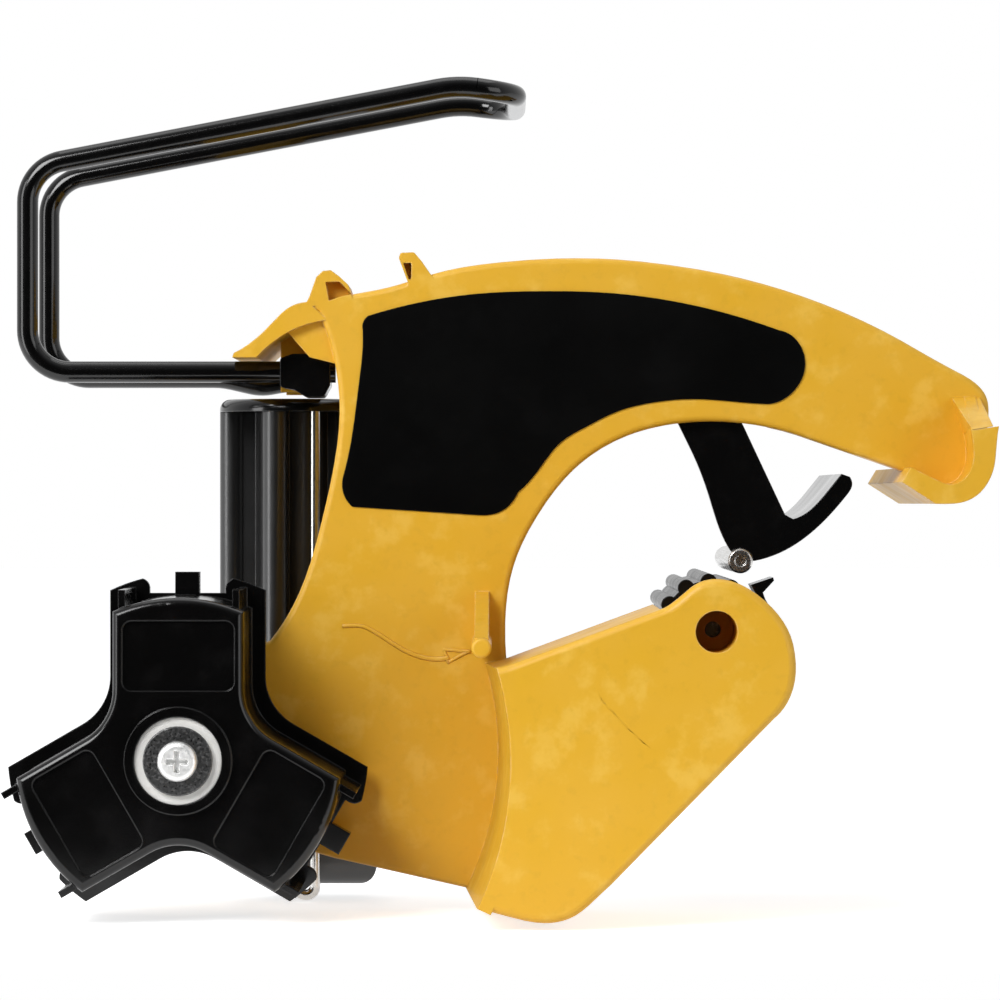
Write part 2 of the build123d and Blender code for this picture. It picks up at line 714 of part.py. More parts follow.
bushing_front = -hub_ring_rise / 2
with BuildPart() as hub_bushing:
    with BuildSketch(face_at(plate_front)):
        Circle(bushing_radius)
    extrude(amount=plate_front - bushing_front)
    with BuildSketch(face_at(plate_front + overrun)):
        Circle(bushing_radius - bushing_wall)
        Circle(screw_radius + bushing_wall, mode=Mode.SUBTRACT)
    extrude(amount=plate_front + overrun - bushing_front - bushing_wall, mode=Mode.SUBTRACT)
    with BuildSketch(face_at(plate_front + overrun)):
        Circle(screw_radius + seat_gap)
    extrude(amount=plate_front - bushing_front + 2 * overrun, mode=Mode.SUBTRACT)
hub_bushing.part.label = "hub_bushing"
export_step(hub_bushing.part, "parts/hub_bushing.step")

with BuildPart() as hub_washer:
    with BuildSketch(face_at(bushing_front)):
        Circle(washer_radius)
        Circle(screw_radius + seat_gap, mode=Mode.SUBTRACT)
    extrude(amount=washer_thickness)
    fillet(hub_washer.edges().filter_by(GeomType.CIRCLE).group_by(Axis.Y)[0], washer_thickness / 5)
hub_washer.part.label = "hub_washer"
export_step(hub_washer.part, "parts/hub_washer.step")

head_seat = bushing_front - washer_thickness
with BuildPart() as hub_screw:
    with BuildSketch(face_at(plate_back + screw_reach)):
        Circle(screw_radius)
    extrude(amount=plate_back + screw_reach - head_seat)
    with BuildSketch(face_at(head_seat)):
        Circle(screw_head_radius)
    extrude(amount=screw_head_height)
    fillet(hub_screw.edges().filter_by(GeomType.CIRCLE).group_by(Axis.Y)[0], screw_head_height / 2)
    with BuildSketch(face_at(head_seat - screw_head_height + screw_cross_depth)):
        Rectangle(screw_cross_length, screw_cross_width)
        Rectangle(screw_cross_width, screw_cross_length)
    extrude(amount=screw_cross_depth + overrun, mode=Mode.SUBTRACT)
hub_screw.part.label = "hub_screw"
export_step(hub_screw.part, "parts/hub_screw.step")

with BuildPart() as hub_insert:
    with BuildSketch(face_at(plate_back + boss_length)):
        Circle(insert_radius)
        Circle(screw_radius + seat_gap, mode=Mode.SUBTRACT)
    extrude(amount=insert_length)
hub_insert.part.label = "hub_insert"
export_step(hub_insert.part, "parts/hub_insert.step")

drag_inner = bushing_radius + open_gap
drag_space = plate_front - hub_depth
with BuildPart() as hub_drag_ring:
    with BuildSketch(Plane.XY):
        with BuildLine():
            Polyline((drag_inner, plate_front),
                     (drag_inner, plate_front - drag_ring_thickness),
                     (drag_inner + drag_ring_width, hub_depth + running_gap),
                     (drag_inner + drag_ring_width,
                      hub_depth + running_gap + drag_ring_thickness), close=True)
        make_face()
    revolve(axis=Axis.Y)
hub_drag_ring.part.label = "hub_drag_ring"
export_step(hub_drag_ring.part, "parts/hub_drag_ring.step")

# Forearm brace: near run, far run and the pivot run in one wire
left_x, left_low = spot(brace_shares[0])
left_high = spot(brace_shares[1])[1]
crest = spot(brace_shares[2])
tip = spot(brace_shares[3])
dip_start = spot(brace_dip_shares[0])
dip = spot(brace_dip_shares[1])
near_end = (pivot_place[0] + 0.72 * block_length, brace_near, pivot_place[1])
brace_route = [
    near_end,
    (left_x, brace_near, left_low),
    (left_x, brace_near, left_high),
    (crest[0], brace_near, crest[1]),
    (tip[0], brace_near, tip[1]),
    (tip[0], brace_far, tip[1]),
    (crest[0], brace_far, crest[1]),
    (left_x, brace_far, left_high),
    (left_x, brace_far, left_low),
    (dip_start[0], brace_far, dip_start[1]),
    (dip[0], brace_far, dip[1]),
    (pivot_place[0], brace_far, pivot_place[1]),
    (pivot_place[0], brace_near + 2 * wire_radius, pivot_place[1]),
]
corner_radius = 3.9 * wire_radius
brace_radii = [corner_radius, corner_radius, 3 * corner_radius, 0.95 * corner_radius,
               0.95 * corner_radius, 3 * corner_radius, corner_radius, corner_radius,
               2 * corner_radius, 1.2 * corner_radius, 0.45 * corner_radius]
with BuildPart() as arm_brace_wire:
    with BuildLine() as brace_line:
        FilletPolyline(*brace_route, radius=brace_radii)
    with BuildSketch(Plane(origin=brace_route[0], z_dir=brace_line.line % 0)):
        Circle(wire_radius)
    sweep(path=brace_line.line)
arm_brace_wire.part.label = "arm_brace_wire"
export_step(arm_brace_wire.part, "parts/arm_brace_wire.step")
brace_path = brace_line.wires()[0]
print("brace wire volume over section times length",
      round(arm_brace_wire.part.volume / (pi * wire_radius ** 2 * brace_path.length), 4))

with BuildPart() as brace_pivot_block:
    with BuildSketch(face_at(block_back)):
        with BuildLine():
            Polyline(*[(pivot_place[0] + right * block_length, pivot_place[1] + up * block_length)
                       for right, up in block_shares], close=True)
        block_outline = make_face()
        fillet(block_outline.vertices(), block_round)
    extrude(amount=block_depth)
    with BuildSketch(face_at(block_back + overrun)):
        with Locations(pivot_place):
            Circle(wire_radius + seat_gap)
    extrude(amount=block_back + overrun - brace_near - wire_radius, mode=Mode.SUBTRACT)
    with BuildSketch(Plane.YZ.offset(pivot_place[0] - block_length)):
        with Locations((brace_near, pivot_place[1])):
            Circle(wire_radius + seat_gap)
    extrude(amount=2 * block_length, mode=Mode.SUBTRACT)
brace_pivot_block.part.label = "brace_pivot_block"
export_step(brace_pivot_block.part, "parts/brace_pivot_block.step")

with BuildPart() as brace_spring_washer:
    with BuildSketch(face_at(near_lug_front)):
        with Locations(pivot_place):
            Circle(wire_radius + clip_width)
            Circle(wire_radius + seat_gap, mode=Mode.SUBTRACT)
    extrude(amount=spring_washer_thickness)
brace_spring_washer.part.label = "brace_spring_washer"
export_step(brace_spring_washer.part, "parts/brace_spring_washer.step")

# Mandrel: a core tube with lobes, and the foot that hinges
lobe_orbit = mandrel_radius - lobe_radius
mandrel_axis = (mandrel_x, mandrel_depth)
rod_place = (mandrel_x + rod_offset, mandrel_depth - (rod_orbit ** 2 - rod_offset ** 2) ** 0.5)
cap_bottom = mandrel_top - cap_height
column_low = hinge_z + ear_half_height + 2 * side_gap
foot_middle = hinge_z + (foot_rise - foot_drop) / 2
with BuildPart() as mandrel_foot:
    with BuildSketch(Plane.YZ.offset(mandrel_x - foot_left)):
        with Locations((mandrel_depth, foot_middle)):
            RectangleRounded(2 * foot_half_depth, foot_rise + foot_drop, foot_round)
    extrude(amount=foot_left + foot_right)
    with BuildSketch(face_at(mandrel_depth + foot_half_depth + overrun)):
        with Locations((mandrel_x + (foot_right - foot_left) / 2, foot_middle)):
            RectangleRounded(foot_left + foot_right, foot_rise + foot_drop, foot_corner)
    extrude(amount=2 * (foot_half_depth + overrun), mode=Mode.INTERSECT)

with BuildPart() as paper_mandrel:
    with BuildSketch(Plane.XY.offset(column_low)):
        with Locations(mandrel_axis):
            Circle(core_tube_radius)
        for lobe in range(lobe_count):
            angle = 180 + 360 * lobe / lobe_count
            lobe_middle = (mandrel_x + lobe_orbit * cos(radians(angle)),
                           mandrel_depth + lobe_orbit * sin(radians(angle)))
            with Locations(lobe_middle):
                Circle(lobe_radius)
            with Locations(Location((mandrel_x, mandrel_depth, 0), (0, 0, angle))):
                Rectangle(lobe_orbit, lobe_web, align=(Align.MIN, Align.CENTER))
    extrude(amount=cap_bottom - column_low)
    with BuildSketch(Plane.XY.offset(hinge_z + foot_rise + side_wall)):
        with Locations(mandrel_axis):
            Circle(core_tube_radius - core_tube_wall)
    extrude(amount=cap_bottom - hinge_z - foot_rise - side_wall + overrun, mode=Mode.SUBTRACT)
    add(mandrel_foot.part)
    with BuildSketch(Plane.XY.offset(hinge_z - eyelet_height / 2)):
        with Locations((rod_place[0], rod_place[1])):
            Circle(eyelet_half_width)
        with Locations((rod_place[0], mandrel_depth - foot_half_depth)):
            Rectangle(2 * eyelet_half_width, mandrel_depth - foot_half_depth - rod_place[1],
                      align=(Align.CENTER, Align.MAX))
    extrude(amount=eyelet_height)
    with BuildSketch(Plane.XY.offset(hinge_z - foot_drop - overrun)):
        with Locations((rod_place[0], rod_place[1])):
            Circle(rod_radius + seat_gap)
    extrude(amount=cap_bottom - hinge_z + foot_drop, mode=Mode.SUBTRACT)
    with BuildSketch(Plane.YZ.offset(mandrel_x - foot_left - overrun)):
        with Locations((mandrel_depth, hinge_z)):
            Circle(hinge_pin_radius + running_gap)
    extrude(amount=foot_left + foot_right + 2 * overrun, mode=Mode.SUBTRACT)
paper_mandrel.part.label = "paper_mandrel"
export_step(paper_mandrel.part, "parts/paper_mandrel.step")

with BuildPart() as mandrel_end_cap:
    with BuildSketch(Plane.XY.offset(cap_bottom)):
        with Locations(mandrel_axis):
            Circle(mandrel_radius)
    extrude(amount=cap_height)
    fillet(mandrel_end_cap.edges().filter_by(GeomType.CIRCLE).group_by(Axis.Z)[-1], cap_round)
    with BuildSketch(Plane.XY.offset(cap_bottom)):
        with Locations(mandrel_axis):
            Circle(core_tube_radius - core_tube_wall - seat_gap)
    extrude(amount=-cap_height)
    with BuildSketch(Plane.XY.offset(cap_bottom)):
        with Locations(rod_place):
            Circle(rod_radius + seat_gap)
    extrude(amount=cap_height / 2, mode=Mode.SUBTRACT)
mandrel_end_cap.part.label = "mandrel_end_cap"
export_step(mandrel_end_cap.part, "parts/mandrel_end_cap.step")

rod_low = hinge_z - foot_drop
rod_top = cap_bottom + cap_height / 2 - seat_gap
with BuildPart() as core_retaining_rod:
    with BuildLine() as rod_line:
        rod_run = Line((rod_place[0], rod_place[1], rod_top), (rod_place[0], rod_place[1], rod_low))
        hook = TangentArc((rod_place[0], rod_place[1], rod_low),
                          (rod_place[0] - rod_hook_radius, rod_place[1],
                           rod_low - rod_hook_radius), tangent=(0, 0, -1))
        TangentArc(hook @ 1, (rod_place[0] - 1.8 * rod_hook_radius, rod_place[1],
                              rod_low - 0.6 * rod_hook_radius), tangent=hook % 1)
    with BuildSketch(Plane(origin=(rod_place[0], rod_place[1], rod_top), z_dir=(0, 0, -1))):
        Circle(rod_radius)
    sweep(path=rod_line.line)
core_retaining_rod.part.label = "core_retaining_rod"
export_step(core_retaining_rod.part, "parts/core_retaining_rod.step")

pin_left = left_ear - ear_thickness - running_gap
pin_right = right_ear + ear_thickness + running_gap
pin_tail = pin_right + clip_thickness + 2 * side_gap
with BuildPart() as mandrel_hinge_pin:
    with BuildSketch(Plane.YZ.offset(pin_left)):
        with Locations((mandrel_depth, hinge_z)):
            Circle(hinge_pin_radius)
    extrude(amount=pin_tail - pin_left)
    with BuildSketch(Plane.YZ.offset(pin_left)):
        with Locations((mandrel_depth, hinge_z)):
            Circle(hinge_head_radius)
    extrude(amount=-hinge_head_length)
    with BuildSketch(Plane.YZ.offset(pin_right)):
        with Locations((mandrel_depth, hinge_z)):
            Circle(hinge_pin_radius + overrun)
            Circle(hinge_pin_radius - clip_width / 3, mode=Mode.SUBTRACT)
    extrude(amount=clip_thickness + 2 * running_gap, mode=Mode.SUBTRACT)
mandrel_hinge_pin.part.label = "mandrel_hinge_pin"
export_step(mandrel_hinge_pin.part, "parts/mandrel_hinge_pin.step")


pin_groove = hinge_pin_radius - clip_width / 3
opening_slope = tan(radians(clip_opening / 2))
with BuildPart() as mandrel_pin_clip:
    with BuildSketch(Plane(origin=(pin_right + running_gap, mandrel_depth, hinge_z),
                           x_dir=(0, 1, 0), z_dir=(1, 0, 0))):
        Circle(pin_groove + clip_width)
        Circle(pin_groove + seat_gap, mode=Mode.SUBTRACT)
        with BuildLine():
            Polyline((0, 0), (2 * clip_width + pin_groove, 2 * clip_width * opening_slope
                              + pin_groove * opening_slope),
                     (2 * clip_width + pin_groove, -2 * clip_width * opening_slope
                      - pin_groove * opening_slope), close=True)
        make_face(mode=Mode.SUBTRACT)
    extrude(amount=clip_thickness)
mandrel_pin_clip.part.label = "mandrel_pin_clip"
export_step(mandrel_pin_clip.part, "parts/mandrel_pin_clip.step")

with BuildPart() as mandrel_washers:
    for start in (left_ear + running_gap, mandrel_x + foot_right + running_gap):
        with BuildSketch(Plane.YZ.offset(start)):
            with Locations((mandrel_depth, hinge_z)):
                Circle(ear_washer_radius)
                Circle(hinge_pin_radius + seat_gap, mode=Mode.SUBTRACT)
        extrude(amount=ear_washer_thickness)
mandrel_washers.part.label = "mandrel_washers"
export_step(mandrel_washers.part, "parts/mandrel_washers.step")

# Trigger: cheek, sleeve, wide finger pad and the far lug of the nip bar
nip_front = cheek_front - nip_proud
nip_back = nip_front + nip_length
far_lug_start = nip_back - nip_proud - far_lug_width
with BuildPart() as trigger:
    with BuildSketch(face_at(cheek_back)):
        with Locations(trigger_place):
            Circle(trigger_head_radius)
        with BuildLine():
            Spline(*spots(cheek_left_shares))
            Line(spot(cheek_left_shares[-1]), nip_place)
            Line(nip_place, spot(pad_outer_shares[0]))
            Spline(*spots(pad_outer_shares))
            Line(spot(pad_outer_shares[-1]), spot(pad_inner_shares[0]))
            Spline(*spots(pad_inner_shares))
            Line(spot(pad_inner_shares[-1]), spot(cheek_right_shares[-1]))
            Polyline(*reversed(spots(cheek_right_shares)))
            Line(spot(cheek_right_shares[0]), spot(cheek_left_shares[0]))
        make_face()
    extrude(amount=cheek_thickness)
    with BuildSketch(face_at(cheek_front + pad_width)):
        with BuildLine():
            Spline(*spots(pad_outer_shares))
            Line(spot(pad_outer_shares[-1]), spot(pad_inner_shares[0]))
            Spline(*spots(pad_inner_shares))
            Spline(spot(pad_inner_shares[-1]), *spots(pad_root_shares))
            Line(spot(pad_root_shares[-1]), spot(pad_outer_shares[0]))
        make_face()
    extrude(amount=pad_width)
    with BuildSketch(face_at(far_lug_start + far_lug_width)):
        with BuildLine():
            Polyline(nip_place, spot(pad_outer_shares[0]), spot(pad_root_shares[0]),
                     spot(pad_root_shares[-1]), (nip_place[0], nip_place[1] + nip_radius),
                     close=True)
        make_face()
    extrude(amount=far_lug_width)
    with BuildSketch(face_at(cheek_front + trigger_sleeve_length)):
        with Locations(trigger_place):
            Circle(trigger_sleeve_radius)
    extrude(amount=trigger_sleeve_length)
    with BuildSketch(face_at(cheek_front + trigger_sleeve_length + overrun)):
        with Locations(trigger_place):
            Circle(trigger_pin_radius + running_gap)
    extrude(amount=trigger_sleeve_length + 2 * overrun, mode=Mode.SUBTRACT)
    with BuildSketch(face_at(nip_back + overrun)):
        with Locations(nip_place):
            Circle(nip_radius + seat_gap)
    extrude(amount=nip_length + 2 * overrun, mode=Mode.SUBTRACT)
    # Cut back so that only the bar comes near the roller
    with BuildSketch(face_at(nip_back + overrun)):
        with Locations(roller_place):
            Circle(roller_radius + 2 * side_gap)
    extrude(amount=nip_length + 2 * overrun, mode=Mode.SUBTRACT)
trigger.part.label = "trigger"
export_step(trigger.part, "parts/trigger.step")

with BuildPart() as trigger_pivot_pin:
    with BuildSketch(face_at(web_front + web_thickness + running_gap)):
        with Locations(trigger_place):
            Circle(trigger_pin_radius)
    extrude(amount=web_front + web_thickness + running_gap - plate_back
            + plate_wall / 2 - running_gap)
    with BuildSketch(face_at(web_front + web_thickness + running_gap + hinge_head_length)):
        with Locations(trigger_place):
            Circle(hinge_head_radius)
    extrude(amount=hinge_head_length)
trigger_pivot_pin.part.label = "trigger_pivot_pin"
export_step(trigger_pivot_pin.part, "parts/trigger_pivot_pin.step")

# Return spring: quarter turns that run on from each other, with two legs
climb = spring_pitch / (2 * pi)
spring_front = (cheek_back + spring_wire_radius + open_gap
                + climb * spring_leg / spring_mean_radius)
quarter_count = 4 * spring_turns


def spring_point(quarter):
    angle = pi / 2 * quarter
    return (trigger_place[0] + spring_mean_radius * cos(angle),
            spring_front + spring_pitch * quarter / 4,
            trigger_place[1] + spring_mean_radius * sin(angle))


with BuildPart() as trigger_return_spring:
    with BuildLine() as spring_line:
        start = spring_point(0)
        lead = Line((start[0], start[1] - climb * spring_leg / spring_mean_radius,
                     start[2] - spring_leg), start)
        last = lead
        for quarter in range(1, quarter_count + 1):
            last = TangentArc(last @ 1, spring_point(quarter), tangent=last % 1)
        Line(last @ 1, last @ 1 + (last % 1) * spring_leg)
    with BuildSketch(Plane(origin=lead @ 0, z_dir=lead % 0)):
        Circle(spring_wire_radius)
    sweep(path=spring_line.line)
trigger_return_spring.part.label = "trigger_return_spring"
export_step(trigger_return_spring.part, "parts/trigger_return_spring.step")
spring_path = spring_line.wires()[0]
sample_count = 400
turn_samples = [spring_path @ (step / sample_count) for step in range(sample_count + 1)]
apart = int(sample_count * pi * spring_mean_radius / spring_path.length)
least = min((turn_samples[one] - turn_samples[other]).length
            for one in range(sample_count + 1)
            for other in range(one + apart, sample_count + 1))
print("spring's least gap to itself", round(least - 2 * spring_wire_radius, 2))
print("spring volume over section times length",
      round(trigger_return_spring.part.volume
            / (pi * spring_wire_radius ** 2 * spring_path.length), 4))

with BuildPart() as nip_bar:
    with BuildSketch(face_at(nip_back)):
        with Locations(nip_place):
            Circle(nip_radius)
    extrude(amount=nip_length)
    chamfer(nip_bar.edges().filter_by(GeomType.CIRCLE), nip_radius / 8)
    with BuildSketch(face_at(nip_front + nip_socket_depth)):
        with Locations(nip_place):
            Circle(nip_socket_radius)
    extrude(amount=nip_socket_depth + overrun, mode=Mode.SUBTRACT)
nip_bar.part.label = "nip_bar"
export_step(nip_bar.part, "parts/nip_bar.step")

# Ribbed roller on its axle
roller_back = roller_front + roller_length
with BuildPart() as tape_roller:
    with BuildSketch(face_at(roller_back)):
        with Locations(roller_place):
            Circle(roller_core_radius)
        for rib in range(roller_rib_count):
            angle = 90 + 360 * rib / roller_rib_count
            with Locations(Location((roller_place[0], roller_place[1], 0), (0, 0, angle))):
                Rectangle(roller_radius - roller_rib_width / 2, roller_rib_width,
                          align=(Align.MIN, Align.CENTER))
            with Locations((roller_place[0] + (roller_radius - roller_rib_width / 2)
                            * cos(radians(angle)),
                            roller_place[1] + (roller_radius - roller_rib_width / 2)
                            * sin(radians(angle)))):
                Circle(roller_rib_width / 2)
        with Locations(roller_place):
            Circle(axle_radius + running_gap, mode=Mode.SUBTRACT)
    extrude(amount=roller_length)
    with BuildSketch(face_at(roller_back - roller_end_wall)):
        with Locations(roller_place):
            Circle(roller_core_radius - roller_wall)
            Circle(axle_radius + roller_wall, mode=Mode.SUBTRACT)
    extrude(amount=roller_length - 2 * roller_end_wall, mode=Mode.SUBTRACT)
tape_roller.part.label = "tape_roller"
export_step(tape_roller.part, "parts/tape_roller.step")

axle_front = arm_front + bore_pocket_depth + bore_floor + running_gap
axle_back = roller_back + clip_thickness + axle_tail
clip_front = roller_back + open_gap
with BuildPart() as roller_axle:
    with BuildSketch(face_at(axle_back)):
        with Locations(roller_place):
            Circle(axle_radius)
    extrude(amount=axle_back - axle_front)
    with BuildSketch(face_at(clip_front + clip_thickness + running_gap)):
        with Locations(roller_place):
            Circle(axle_radius + overrun)
            Circle(axle_radius - clip_width / 2, mode=Mode.SUBTRACT)
    extrude(amount=clip_thickness + 2 * running_gap, mode=Mode.SUBTRACT)
roller_axle.part.label = "roller_axle"
export_step(roller_axle.part, "parts/roller_axle.step")

axle_groove = axle_radius - clip_width / 2
with BuildPart() as roller_clip:
    with BuildSketch(Plane(origin=at_depth(roller_place, clip_front + clip_thickness),
                           x_dir=(1, 0, 0), z_dir=(0, -1, 0))):
        Circle(axle_groove + clip_width)
        Circle(axle_groove + seat_gap, mode=Mode.SUBTRACT)
        with BuildLine():
            Polyline((0, 0), (2 * clip_width + axle_groove, 2 * clip_width * opening_slope
                              + axle_groove * opening_slope),
                     (2 * clip_width + axle_groove, -2 * clip_width * opening_slope
                      - axle_groove * opening_slope), close=True)
        make_face(mode=Mode.SUBTRACT)
    extrude(amount=clip_thickness)
roller_clip.part.label = "roller_clip"
export_step(roller_clip.part, "parts/roller_clip.step")

# Thin finger that lifts the tape off the roller
with BuildPart() as tape_stripper:
    with BuildSketch(face_at(plate_back)):
        with BuildLine():
            Polyline(*stripper_points, close=True)
        make_face()
    extrude(amount=plate_back - roller_front)
tape_stripper.part.label = "tape_stripper"
export_step(tape_stripper.part, "parts/tape_stripper.step")
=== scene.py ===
import math

import bmesh
import bpy
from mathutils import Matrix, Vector


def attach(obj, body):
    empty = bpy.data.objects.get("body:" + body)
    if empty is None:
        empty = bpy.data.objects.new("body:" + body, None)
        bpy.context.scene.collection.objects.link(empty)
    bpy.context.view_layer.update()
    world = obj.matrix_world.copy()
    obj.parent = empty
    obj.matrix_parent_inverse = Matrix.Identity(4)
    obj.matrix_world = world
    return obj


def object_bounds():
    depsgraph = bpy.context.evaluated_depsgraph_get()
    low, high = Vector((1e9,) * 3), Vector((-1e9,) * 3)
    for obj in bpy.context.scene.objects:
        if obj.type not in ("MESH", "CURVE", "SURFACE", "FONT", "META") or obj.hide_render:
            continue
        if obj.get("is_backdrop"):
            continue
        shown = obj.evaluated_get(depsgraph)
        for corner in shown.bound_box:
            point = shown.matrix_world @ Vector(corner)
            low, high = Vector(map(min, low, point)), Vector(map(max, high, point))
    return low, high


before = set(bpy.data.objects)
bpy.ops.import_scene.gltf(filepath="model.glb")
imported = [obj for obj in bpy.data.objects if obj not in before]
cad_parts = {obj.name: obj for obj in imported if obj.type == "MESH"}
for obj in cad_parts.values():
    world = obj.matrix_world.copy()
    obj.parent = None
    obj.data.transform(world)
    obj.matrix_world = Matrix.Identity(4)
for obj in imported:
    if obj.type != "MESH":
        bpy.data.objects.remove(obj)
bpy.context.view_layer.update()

bl_info = {
    "name": "Masking Paper Dispenser Finishes",
    "version": (1, 0, 0),
    "blender": (4, 5, 0),
    "location": "View3D > Sidebar > Dispenser",
    "description": "Gives the masking paper dispenser its materials, small raised marks and studio",
    "category": "Object",
}

MM = 0.001
BODY_FINISH = "Yellow moulded plastic"

# Faces of the body that carry raised marks, in mm behind the hub's front plane
PLATE_FACE = 43.0
ARM_FACE = -13.0

# Centre lines of the marks, in mm to the right of the hub's axis and above it
ARROW_TAIL = [(33.2, 27.3), (37.3, 27.3), (40.6, 25.8), (44.0, 23.6), (47.3, 21.7), (50.6, 20.5),
              (54.0, 20.1), (56.4, 20.4)]
ARROW_TAIL_WIDTH = 0.9
ARROW_TAIL_WIDENING = 0.3
ARROW_TAIL_PROUD = 0.28
ARROW_HEAD = (
    ("raised_arrow_back", 0.24, [(56.2, 19.4), (55.8, 20.8), (55.3, 22.3)]),
    ("raised_arrow_upper", 0.26, [(55.1, 22.2), (58.0, 22.0), (61.1, 21.7)]),
    ("raised_arrow_lower", 0.22, [(60.9, 21.9), (58.4, 20.6), (56.0, 19.3)]),
)
ARROW_HEAD_WIDTH = 0.8
ARM_ARC = [(87.8, 15.3), (88.8, 13.0), (90.9, 10.8), (94.6, 6.8), (98.6, 3.3)]
ARM_ARC_WIDTH = 0.35
ARM_ARC_SWELL = 0.3
ARM_ARC_SUNK = 0.05
ARM_ARC_PROUD = 0.0499
LONG_STEPS = 6
SHORT_STEPS = 5
# Share of its width that a mark keeps at its top
RIBBON_TOP_SHARE = 0.62

# Sloping web at the blade channel, in mm: its near edge is just behind the channel's front
WEB_NEAR = 24.2
WEB_FAR = 43.3
WEB_CORNERS = [(168.6, WEB_NEAR, 69.75), (173.1, WEB_NEAR, 70.45), (171.8, WEB_FAR, 77.15),
               (165.6, WEB_FAR, 77.15), (168.3, WEB_FAR, 69.1), (173.1, WEB_FAR, 70.4)]
WEB_FACES = ((0, 1, 2, 3), (3, 4, 0), (1, 5, 2), (0, 4, 5, 1), (3, 2, 5, 4))

# Fineness of the rounded-edge look, and how far it reaches
EDGE_SAMPLES = 6
SOFT_EDGE = 0.35 * MM
WORN_EDGE = 0.5 * MM
DUST_COLOUR = (0.55, 0.52, 0.46, 1)

# Metals: colour, roughness, scale of the lines along each axis, scale of the spots, contrast, pieces
METALS = (
    ("Bright drawn steel", (0.62, 0.61, 0.59), (0.10, 0.24), (2500.0, 2500.0, 70.0), 300.0, 1.15,
     ("core_retaining_rod",)),
    ("Bright turned steel", (0.60, 0.59, 0.57), (0.14, 0.30), (2500.0, 70.0, 2500.0), 300.0, 1.15,
     ("nip_bar",)),
    ("Bright screw steel", (0.86, 0.86, 0.85), (0.42, 0.58), (900.0, 900.0, 900.0), 400.0, 1.15,
     ("hub_screw",)),
    # The roller axle takes this dark steel as painted shade: its end, seen through the small hole
    # over it, stands for the dark inside the hole
    ("Dull washer steel", (0.10, 0.10, 0.10), (0.24, 0.50), (2200.0, 2200.0, 2200.0), 1500.0, 3.4,
     ("hub_washer", "roller_axle")),
    ("Zinc plated steel", (0.56, 0.57, 0.58), (0.26, 0.46), (1200.0, 1200.0, 1200.0), 500.0, 1.15,
     ("hub_drag_ring", "brace_spring_washer", "mandrel_hinge_pin", "mandrel_pin_clip",
      "mandrel_washers", "trigger_pivot_pin", "trigger_return_spring", "roller_clip")),
    ("Pressed brass", (0.62, 0.44, 0.17), (0.22, 0.38), (1500.0, 300.0, 1500.0), 400.0, 1.15,
     ("hub_insert",)),
)

# Lamps: place (across from the tool's middle, behind the hub's front plane, above the middle),
# size and power
LAMPS = (
    ("key_lamp", (-0.55, -0.75, 0.60), (0.5, 0.5), 9.4),
    ("fill_lamp", (0.8, -0.8, 0.15), (0.6, 0.8), 2.8),
    ("top_lamp", (0.0, 0.15, 0.9), (0.7, 0.5), 1.6),
    ("strip_lamp", (-0.95, -0.45, 0.05), (0.30, 0.9), 4.0),
)

# Floor, in metres, with its tone and the glow that it has for the camera and in gloss
FLOOR_REACH = 6.0
FLOOR_FRONT = 0.1
FLOOR_DROP = 0.0005
FLOOR_TONE = (0.88, 0.92)
FLOOR_GLOW = 0.70

# World: from where to where it changes, with -1 behind the camera and 1 behind the tool, and
# between which strengths of its light, or shares of the white backdrop in gloss
WORLD_LIGHT = (-0.95, -0.15, 0.03, 0.42)
WORLD_GLOSS = (-0.75, 0.45, 0.0, 0.90)
WHITE = (1, 1, 1, 1)

# Camera's film width in mm, and the nearest and furthest that it sees in metres
SENSOR_WIDTH = 36.0
SIGHT = (0.05, 50.0)


# Shared effects

def feed(tree, socket, value):
    """Link a node's result to a socket, or set the socket to a number or colour."""
    if isinstance(value, bpy.types.NodeSocket):
        tree.links.new(value, socket)
    else:
        socket.default_value = value


def combine_in(tree, operation, first, second):
    """One sum on two results or numbers."""
    node = tree.nodes.new("ShaderNodeMath")
    node.operation = operation
    feed(tree, node.inputs[0], first)
    feed(tree, node.inputs[1], second)
    return node.outputs[0]


def range_in(tree, source, start, end, low=0.0, high=1.0, smooth=False):
    """What goes from low to high as the source goes from start to end."""
    node = tree.nodes.new("ShaderNodeMapRange")
    if smooth:
        node.interpolation_type = "SMOOTHSTEP"
    for label, value in (("Value", source), ("From Min", start), ("From Max", end),
                         ("To Min", low), ("To Max", high)):
        feed(tree, node.inputs[label], value)
    return node.outputs["Result"]


def mix_in(tree, mask, base, over):
    """Colour that goes from base to over by a mask."""
    node = tree.nodes.new("ShaderNodeMix")
    node.data_type = "RGBA"
    for label, value in (("Factor", mask), ("A", base), ("B", over)):
        feed(tree, node.inputs[label], value)
    return node.outputs["Result"]


def place_in(tree):
    """The object's own coordinates."""
    node = tree.nodes.get("Place") or tree.nodes.new("ShaderNodeTexCoord")
    node.name = "Place"
    return node.outputs["Object"]


def noise_in(tree, scale, detail, roughness=0.55, place=None):
    """Noise over a place, which is the object's own coordinates where none is given."""
    node = tree.nodes.new("ShaderNodeTexNoise")
    for label, value in (("Vector", place or place_in(tree)), ("Scale", scale), ("Detail", detail),
                         ("Roughness", roughness)):
        feed(tree, node.inputs[label], value)
    return node.outputs["Fac"]


def open_group(name, inputs, outputs):
    """A new shader node group with named sockets, or None if it is already there."""
    if name in bpy.data.node_groups:
        return None
    group = bpy.data.node_groups.new(name, "ShaderNodeTree")
    for label, kind, value in inputs:
        socket = group.interface.new_socket(name=label, in_out="INPUT", socket_type=kind)
        socket.default_value = value
    for label, kind in outputs:
        group.interface.new_socket(name=label, in_out="OUTPUT", socket_type=kind)
    group.nodes.new("NodeGroupInput").name = "In"
    group.nodes.new("NodeGroupOutput").name = "Out"
    return group


